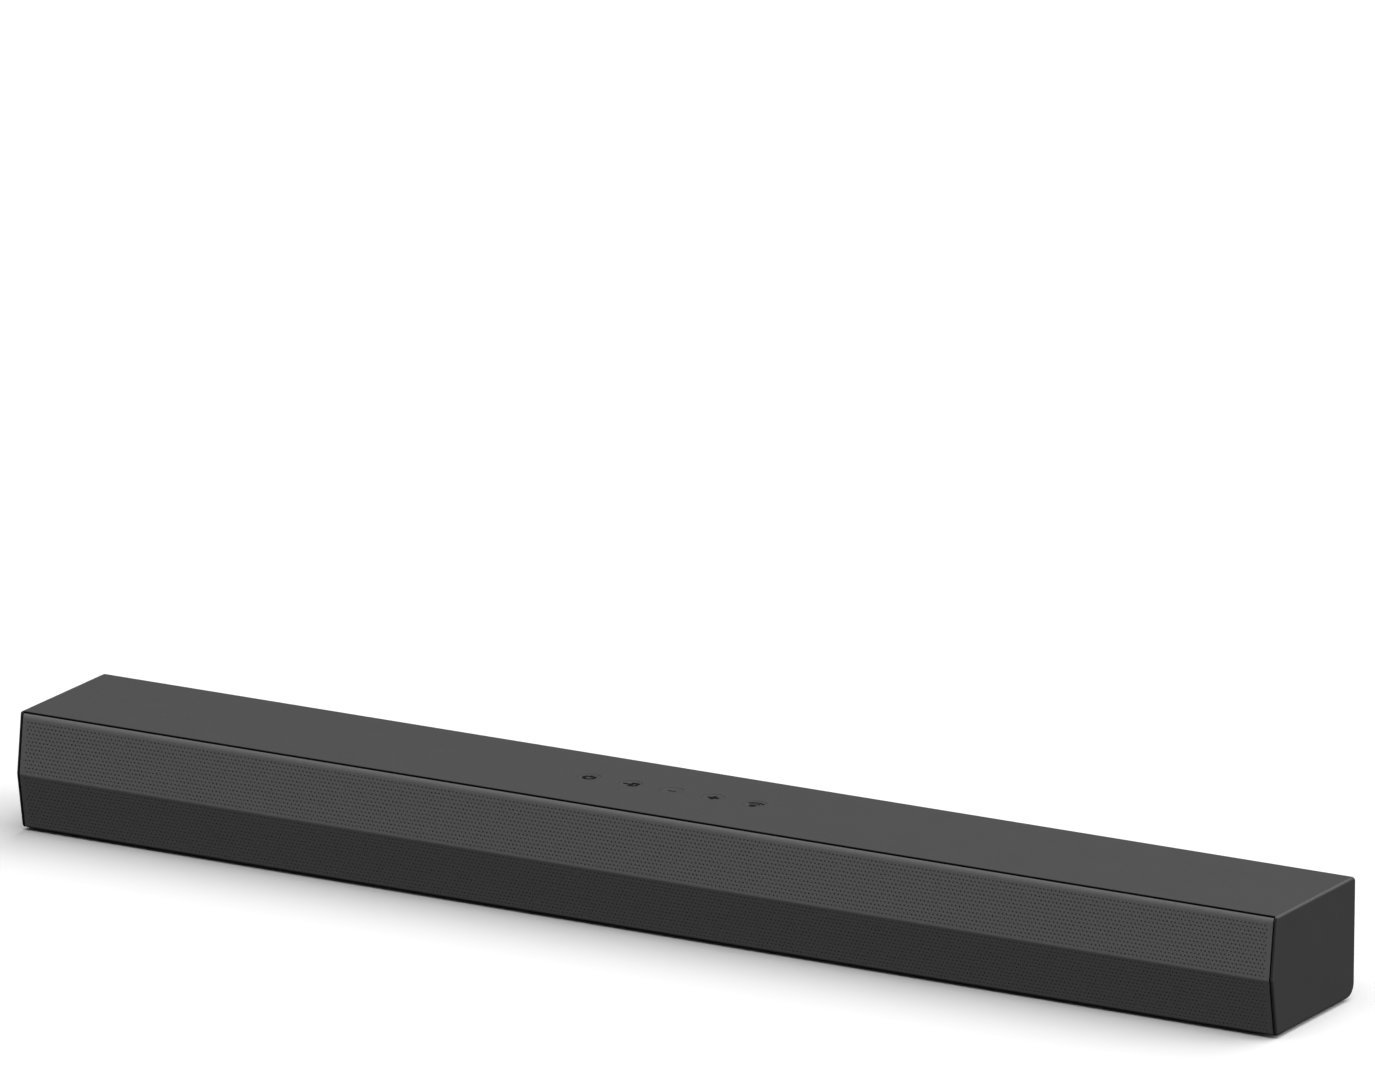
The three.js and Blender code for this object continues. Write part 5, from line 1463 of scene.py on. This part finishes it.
def driver_basket(x):
    """The pressed basket with a rolled flange, drawn walls and four windows."""
    wall = [
        (EDGE_RADIUS - 1 * mm, 0), (FLANGE_RADIUS - 0.4 * mm, 0), (FLANGE_RADIUS, 0.35 * mm),
        (FLANGE_RADIUS, FLANGE_THICK), (EDGE_RADIUS + 0.5 * mm, FLANGE_THICK),
        (EDGE_RADIUS + 0.2 * mm, FLANGE_THICK + 0.3 * mm), (EDGE_RADIUS + 0.2 * mm, BASKET_STRAIGHT),
        (CAN_RADIUS + 1 * mm, NECK_DEPTH), (CAN_RADIUS + 1 * mm, PLATE_DEPTH + 2.6 * mm),
        (CAN_RADIUS + 0.6 * mm, PLATE_DEPTH + 3 * mm), (COIL_RADIUS + 1 * mm, PLATE_DEPTH + 3 * mm),
        (COIL_RADIUS + 1 * mm, PLATE_DEPTH), (CAN_RADIUS, PLATE_DEPTH), (CAN_RADIUS, NECK_DEPTH),
        (EDGE_RADIUS - 1 * mm, BASKET_STRAIGHT), (EDGE_RADIUS - 1 * mm, 0),
    ]
    basket = racetrack("basket", wall, x, BASKET_STRAIGHT)
    half, front, back = CAN_RADIUS - 4 * mm, BASKET_STRAIGHT + 0.6 * mm, NECK_DEPTH - 1.6 * mm
    windows = []
    for side in (-1, 1):
        z = sorted((side * half, side * (FLANGE_RADIUS + 5 * mm)))
        ends = sorted((side * (DRIVER_STRETCH / 2 + half), side * (DRIVER_STRETCH + FLANGE_RADIUS)))
        for (x0, x1), (z0, z1) in (((-half, half), z), (ends, (-half / 2, half / 2))):
            windows.append(
                block(
                    "window",
                    (x + x0, FLANGE_FRONT + front, DRIVER_HEIGHT_MIDDLE + z0),
                    (x + x1, FLANGE_FRONT + back, DRIVER_HEIGHT_MIDDLE + z1),
                )
            )
    return boolean(basket, windows, "DIFFERENCE")


def driver_surround(x):
    """The half-roll rubber edge with its two flat glue lands."""
    inner, outer = CONE_RADIUS - 0.6 * mm, EDGE_RADIUS + 1 * mm
    land, back_land = -0.6 * mm, -0.1 * mm
    centre = ((inner + outer) / 2, land)
    roll = (outer - inner) / 2 - 1 * mm
    front = rolled(roll, centre, 0, 180, 12, 0.85)
    back = rolled(roll - 0.5 * mm, centre, 180, 0, 12, 0.85)
    profile = [(inner, land), *front, (outer, land)]
    profile += [(outer, back_land), *back, (inner, back_land), (inner, land)]
    return racetrack("surround", profile, x)


def driver_cone(x):
    """The paper cone with pressed rings and its domed cap."""
    rim = CONE_RADIUS + 0.3 * mm
    front = [(0, 3), (2.2, 3.15), (4, 3.6), (6.2, 4.8), (7.7, 6.1), (8.3, 6.35)]
    front = [(radius * mm, depth * mm) for radius, depth in front]
    rings = 5
    for k in range(1, rings * 2):
        share = k / (rings * 2)
        ripple = 0.12 * mm if k % 2 else -0.02 * mm
        radius = 8.3 * mm + (rim - 2 * mm - 8.3 * mm) * share
        front.append((radius, 6.35 * mm + (1.2 - 6.35) * mm * share + ripple))
    front += [(rim - 2 * mm, 1.2 * mm), (rim, 0.2 * mm), (rim, 0.7 * mm)]
    back = [
        (rim - 1.8 * mm, 1.8 * mm),
        (COIL_RADIUS + 0.8 * mm, NECK_DEPTH),
        (COIL_RADIUS - 0.6 * mm, NECK_DEPTH),
        (COIL_RADIUS - 1 * mm, 7.4 * mm),
        (3.6 * mm, 4.3 * mm),
        (0, 3.7 * mm),
    ]
    return racetrack("cone", front + back, x)


def driver_spider(x):
    """The corrugated cloth disc that centres the coil."""
    inner, outer = COIL_RADIUS + GAP, CAN_RADIUS - GAP
    steps = 40
    top = []
    for k in range(steps + 1):
        share = k / steps
        wave = -0.6 * mm * math.cos(math.pi * 4 * share)
        top.append((inner + (outer - inner) * share, NECK_DEPTH + 4 * mm + wave))
    under = [(radius, depth + 0.4 * mm) for radius, depth in reversed(top)]
    return racetrack("spider", top + under + [top[0]], x)


def ring_profile(inner, outer, front, back, edge):
    """A ring with its four edges chamfered, closed on itself."""
    return [
        (inner + edge, front), (outer - edge, front), (outer, front + edge), (outer, back - edge),
        (outer - edge, back), (inner + edge, back), (inner, back - edge), (inner, front + edge),
        (inner + edge, front),
    ]


coil_ends = (NECK_DEPTH + SEAT, PLATE_DEPTH + 5 * mm)
coil_profile = ring_profile(COIL_RADIUS - 0.4 * mm, COIL_RADIUS, *coil_ends, 0.06 * mm)
magnet_ends = (MAGNET_FRONT, MAGNET_BACK)
magnet_profile = ring_profile(COIL_RADIUS + 3 * mm, MAGNET_RADIUS, *magnet_ends, 0.5 * mm)
yoke_back = MAGNET_BACK + SEAT
pole, disc = COIL_RADIUS - 1 * mm, MAGNET_RADIUS - 1 * mm
yoke_profile = [
    (0, PLATE_DEPTH),
    (pole - 0.4 * mm, PLATE_DEPTH),
    (pole, PLATE_DEPTH + 0.4 * mm),
    (pole, yoke_back),
    (disc, yoke_back),
    (disc, yoke_back + 2.4 * mm),
    (disc - 0.6 * mm, yoke_back + 3 * mm),
    (3 * mm, yoke_back + 3 * mm),
    (2 * mm, yoke_back + 2.4 * mm),
    (0, yoke_back + 2.4 * mm),
]
for side in ("left", "right"):
    low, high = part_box(f"{side}_driver_frame")
    x = (low.x + high.x) / 2
    made = {
        "frame": (driver_basket(x), pressed_steel, "cabinet", "steel"),
        "surround": (driver_surround(x), surround_rubber, "cabinet", "rubber"),
        "cone": (driver_cone(x), cone_paper, f"{side}_cone", "cone"),
        "coil": (racetrack("coil", coil_profile, x), coil_copper, f"{side}_cone", "coil"),
        "spider": (driver_spider(x), spider_cloth, "cabinet", "spider"),
        "magnet": (racetrack("magnet", magnet_profile, x), magnet_ferrite, "cabinet", "ferrite"),
        "yoke": (racetrack("yoke", yoke_profile, x), pressed_steel, "cabinet", "steel"),
    }
    for part, (piece, material, body, slot_name) in made.items():
        piece.name = f"{side}_speaker_{part}"
        paint(smoothed(piece, 40), material)
        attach(piece, body)
        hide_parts(f"{side}_driver_{part}")
    dressed(f"{side}_driver_gasket", gasket_foam)

# ---------------------------------------------------------------------------
# Boards: green glass-epoxy boards on the tray's posts, and the small key and receiver boards.
# Each has copper tracks under its lacquer and a pale weave at its cut edges.
# ---------------------------------------------------------------------------
finish = Finish("board_epoxy")
tracks = finish.texture(
    "Brick",
    150.0,
    {"offset": 0.37, "squash": 1.6, "squash_frequency": 3},
    1,
    Mortar_Size=0.09,
    Mortar_Smooth=0.2,
    Row_Height=0.32,
    Brick_Width=0.9,
)
weave = finish.noise(1800.0)
tone = finish.mixed(weave, (0.010, 0.055, 0.022, 1), (0.016, 0.075, 0.030, 1))
board_epoxy = finish.coat(
    finish.mixed(tracks, tone, (0.030, 0.125, 0.045, 1)),
    finish.between(weave, 0.3, 0.7, 0.28, 0.42),
    tracks,
    0.6,
    0.03 * mm,
)
for name in ("main_board", "power_board", "receiver_board", "button_board"):
    dressed(name, board_epoxy)

switch_plastic = textured_plastic("switch_plastic", 0.02, 0.42, 0.3 * mm, 0.01 * mm)
for key in KEYS:
    dressed(f"switch_{key}", switch_plastic)

# ---------------------------------------------------------------------------
# What stands on the boards: an extruded aluminium heat sink, a shielded wireless module, a
# lacquered ferrite transformer and a sleeved mains capacitor.
# ---------------------------------------------------------------------------
finish = Finish("extruded_aluminium", 1.0)
lines = finish.streaks((9000, 250, 9000), 3.0)
extruded = finish.coat(
    finish.mixed(finish.noise(300.0, 6.0), grey(0.46, 1.03), grey(0.62, 1.02)),
    finish.between(lines, 0.3, 0.7, 0.32, 0.52),
    lines,
    0.4,
    0.02 * mm,
)
dressed("amplifier_heat_sink", extruded)
dressed("wireless_module", shell_metal)
dressed("power_transformer", magnet_ferrite)
capacitor_sleeve = textured_plastic("capacitor_sleeve", 0.016, 0.3, 0.5 * mm, 0.01 * mm)
dressed("mains_capacitor", capacitor_sleeve)

# ---------------------------------------------------------------------------
# Wiring: PVC-insulated leads to the drivers and the inlet, and a flat ribbon to the key board.
# ---------------------------------------------------------------------------
finish = Finish("lead_cover")
scuff = finish.noise(700.0, 6.0)
lead_cover = finish.coat(
    finish.mixed(finish.between(scuff, 0.5, 0.75, 0, 1), grey(0.016), grey(0.035)),
    finish.between(scuff, 0.3, 0.7, 0.35, 0.5),
    finish.noise(2600.0),
    0.3,
    0.02 * mm,
)
for name in ("left_speaker_lead", "right_speaker_lead", "inlet_lead"):
    dressed(name, lead_cover)

finish = Finish("ribbon_film")
ways = finish.texture("Wave", 160.0, {"bands_direction": "X"}, 1)
stripe = finish.between(ways, 0.4, 0.6, 0, 1)
ribbon_film = finish.coat(
    finish.mixed(stripe, (0.30, 0.30, 0.29, 1), (0.55, 0.55, 0.54, 1)),
    finish.between(finish.noise(500.0, 5.0), 0.3, 0.7, 0.3, 0.48),
    ways,
    0.6,
    0.1 * mm,
)
dressed("button_ribbon", ribbon_film)
# ---------------------------------------------------------------------------
# Studio: a plain pale floor, three broad soft lights from overhead, behind and the side, and the
# camera. The floor shows its shadow but gives no light back, so the folded front stays dark below.
# ---------------------------------------------------------------------------
FLOOR_HALF = 6.0
floor_corners = [(x * FLOOR_HALF, y * FLOOR_HALF, 0) for x, y in ((-1, -1), (1, -1), (1, 1), (-1, 1))]
floor = new_piece("studio_floor", floor_corners, [(0, 1, 2, 3)])
finish = Finish("floor_paint")
finish.shader["Specular IOR Level"].default_value = 0.0
floor_paint = finish.coat(finish.mixed(finish.noise(3.0), grey(0.525), grey(0.535)), 0.9)
paint(floor, floor_paint)
floor.visible_diffuse = False
floor.visible_glossy = False

# The air gives more light from overhead than from the sides, and least from below.
world = bpy.data.worlds.new("studio_air")
bpy.context.scene.world = world
world.use_nodes = True
air = world.node_tree
direction = air.nodes.new("ShaderNodeTexCoord").outputs["Generated"]
split = air.nodes.new("ShaderNodeSeparateXYZ")
air.links.new(direction, split.inputs[0])
brightness = air.nodes.new("ShaderNodeMapRange")
brightness.interpolation_type = "SMOOTHSTEP"
AIR_BELOW, AIR_OVERHEAD = 0.02, 0.25
for socket, value in zip(brightness.inputs[1:5], (-0.3, 1.0, AIR_BELOW, AIR_OVERHEAD)):
    socket.default_value = value
air.links.new(split.outputs[2], brightness.inputs[0])
air.links.new(brightness.outputs[0], air.nodes["Background"].inputs["Strength"])
air.nodes["Background"].inputs["Color"].default_value = grey(1.0)


def soft_sun(name, azimuth, elevation, spread, strength):
    """A distant soft light. Azimuth 0 shines from the front, 90 from the listener's right."""
    lamp = bpy.data.lights.new(name, "SUN")
    lamp.angle = math.radians(spread)
    lamp.energy = strength
    holder = bpy.data.objects.new(name, lamp)
    bpy.context.scene.collection.objects.link(holder)
    a, e = math.radians(azimuth), math.radians(elevation)
    toward = Vector((math.sin(a) * math.cos(e), -math.cos(a) * math.cos(e), math.sin(e)))
    holder.rotation_euler = toward.to_track_quat("Z", "Y").to_euler()
    return holder


soft_sun("overhead_light", -10, 72, 50, 2.3)
soft_sun("back_light", 150, 54, 60, 3.4)
soft_sun("side_light", 100, 20, 60, 2.6)
bpy.context.scene.view_settings.view_transform = "Standard"

CAMERA_TARGET = Vector((5.265, 0, 194.938)) * mm
CAMERA_DISTANCE = 9944.36 * mm
CAMERA_AZIMUTH = math.radians(29.4925)
CAMERA_ELEVATION = math.radians(15.4927)
CAMERA_ROLL = math.radians(0.2941)
camera_data = bpy.data.cameras.new("camera")
camera_data.sensor_width = 36
camera_data.lens = 523.6
camera_data.clip_end = 60
camera = bpy.data.objects.new("camera", camera_data)
bpy.context.scene.collection.objects.link(camera)
back = Vector((
    math.sin(CAMERA_AZIMUTH) * math.cos(CAMERA_ELEVATION),
    -math.cos(CAMERA_AZIMUTH) * math.cos(CAMERA_ELEVATION),
    math.sin(CAMERA_ELEVATION),
))
right = (-back).cross(Vector((0, 0, 1))).normalized()
up = right.cross(-back)
camera_x = math.cos(CAMERA_ROLL) * right + math.sin(CAMERA_ROLL) * up
camera_y = -math.sin(CAMERA_ROLL) * right + math.cos(CAMERA_ROLL) * up
camera.matrix_world = Matrix.LocRotScale(
    CAMERA_TARGET + back * CAMERA_DISTANCE,
    Matrix((camera_x, camera_y, back)).transposed().to_quaternion(),
    None,
)
bpy.context.scene.camera = camera
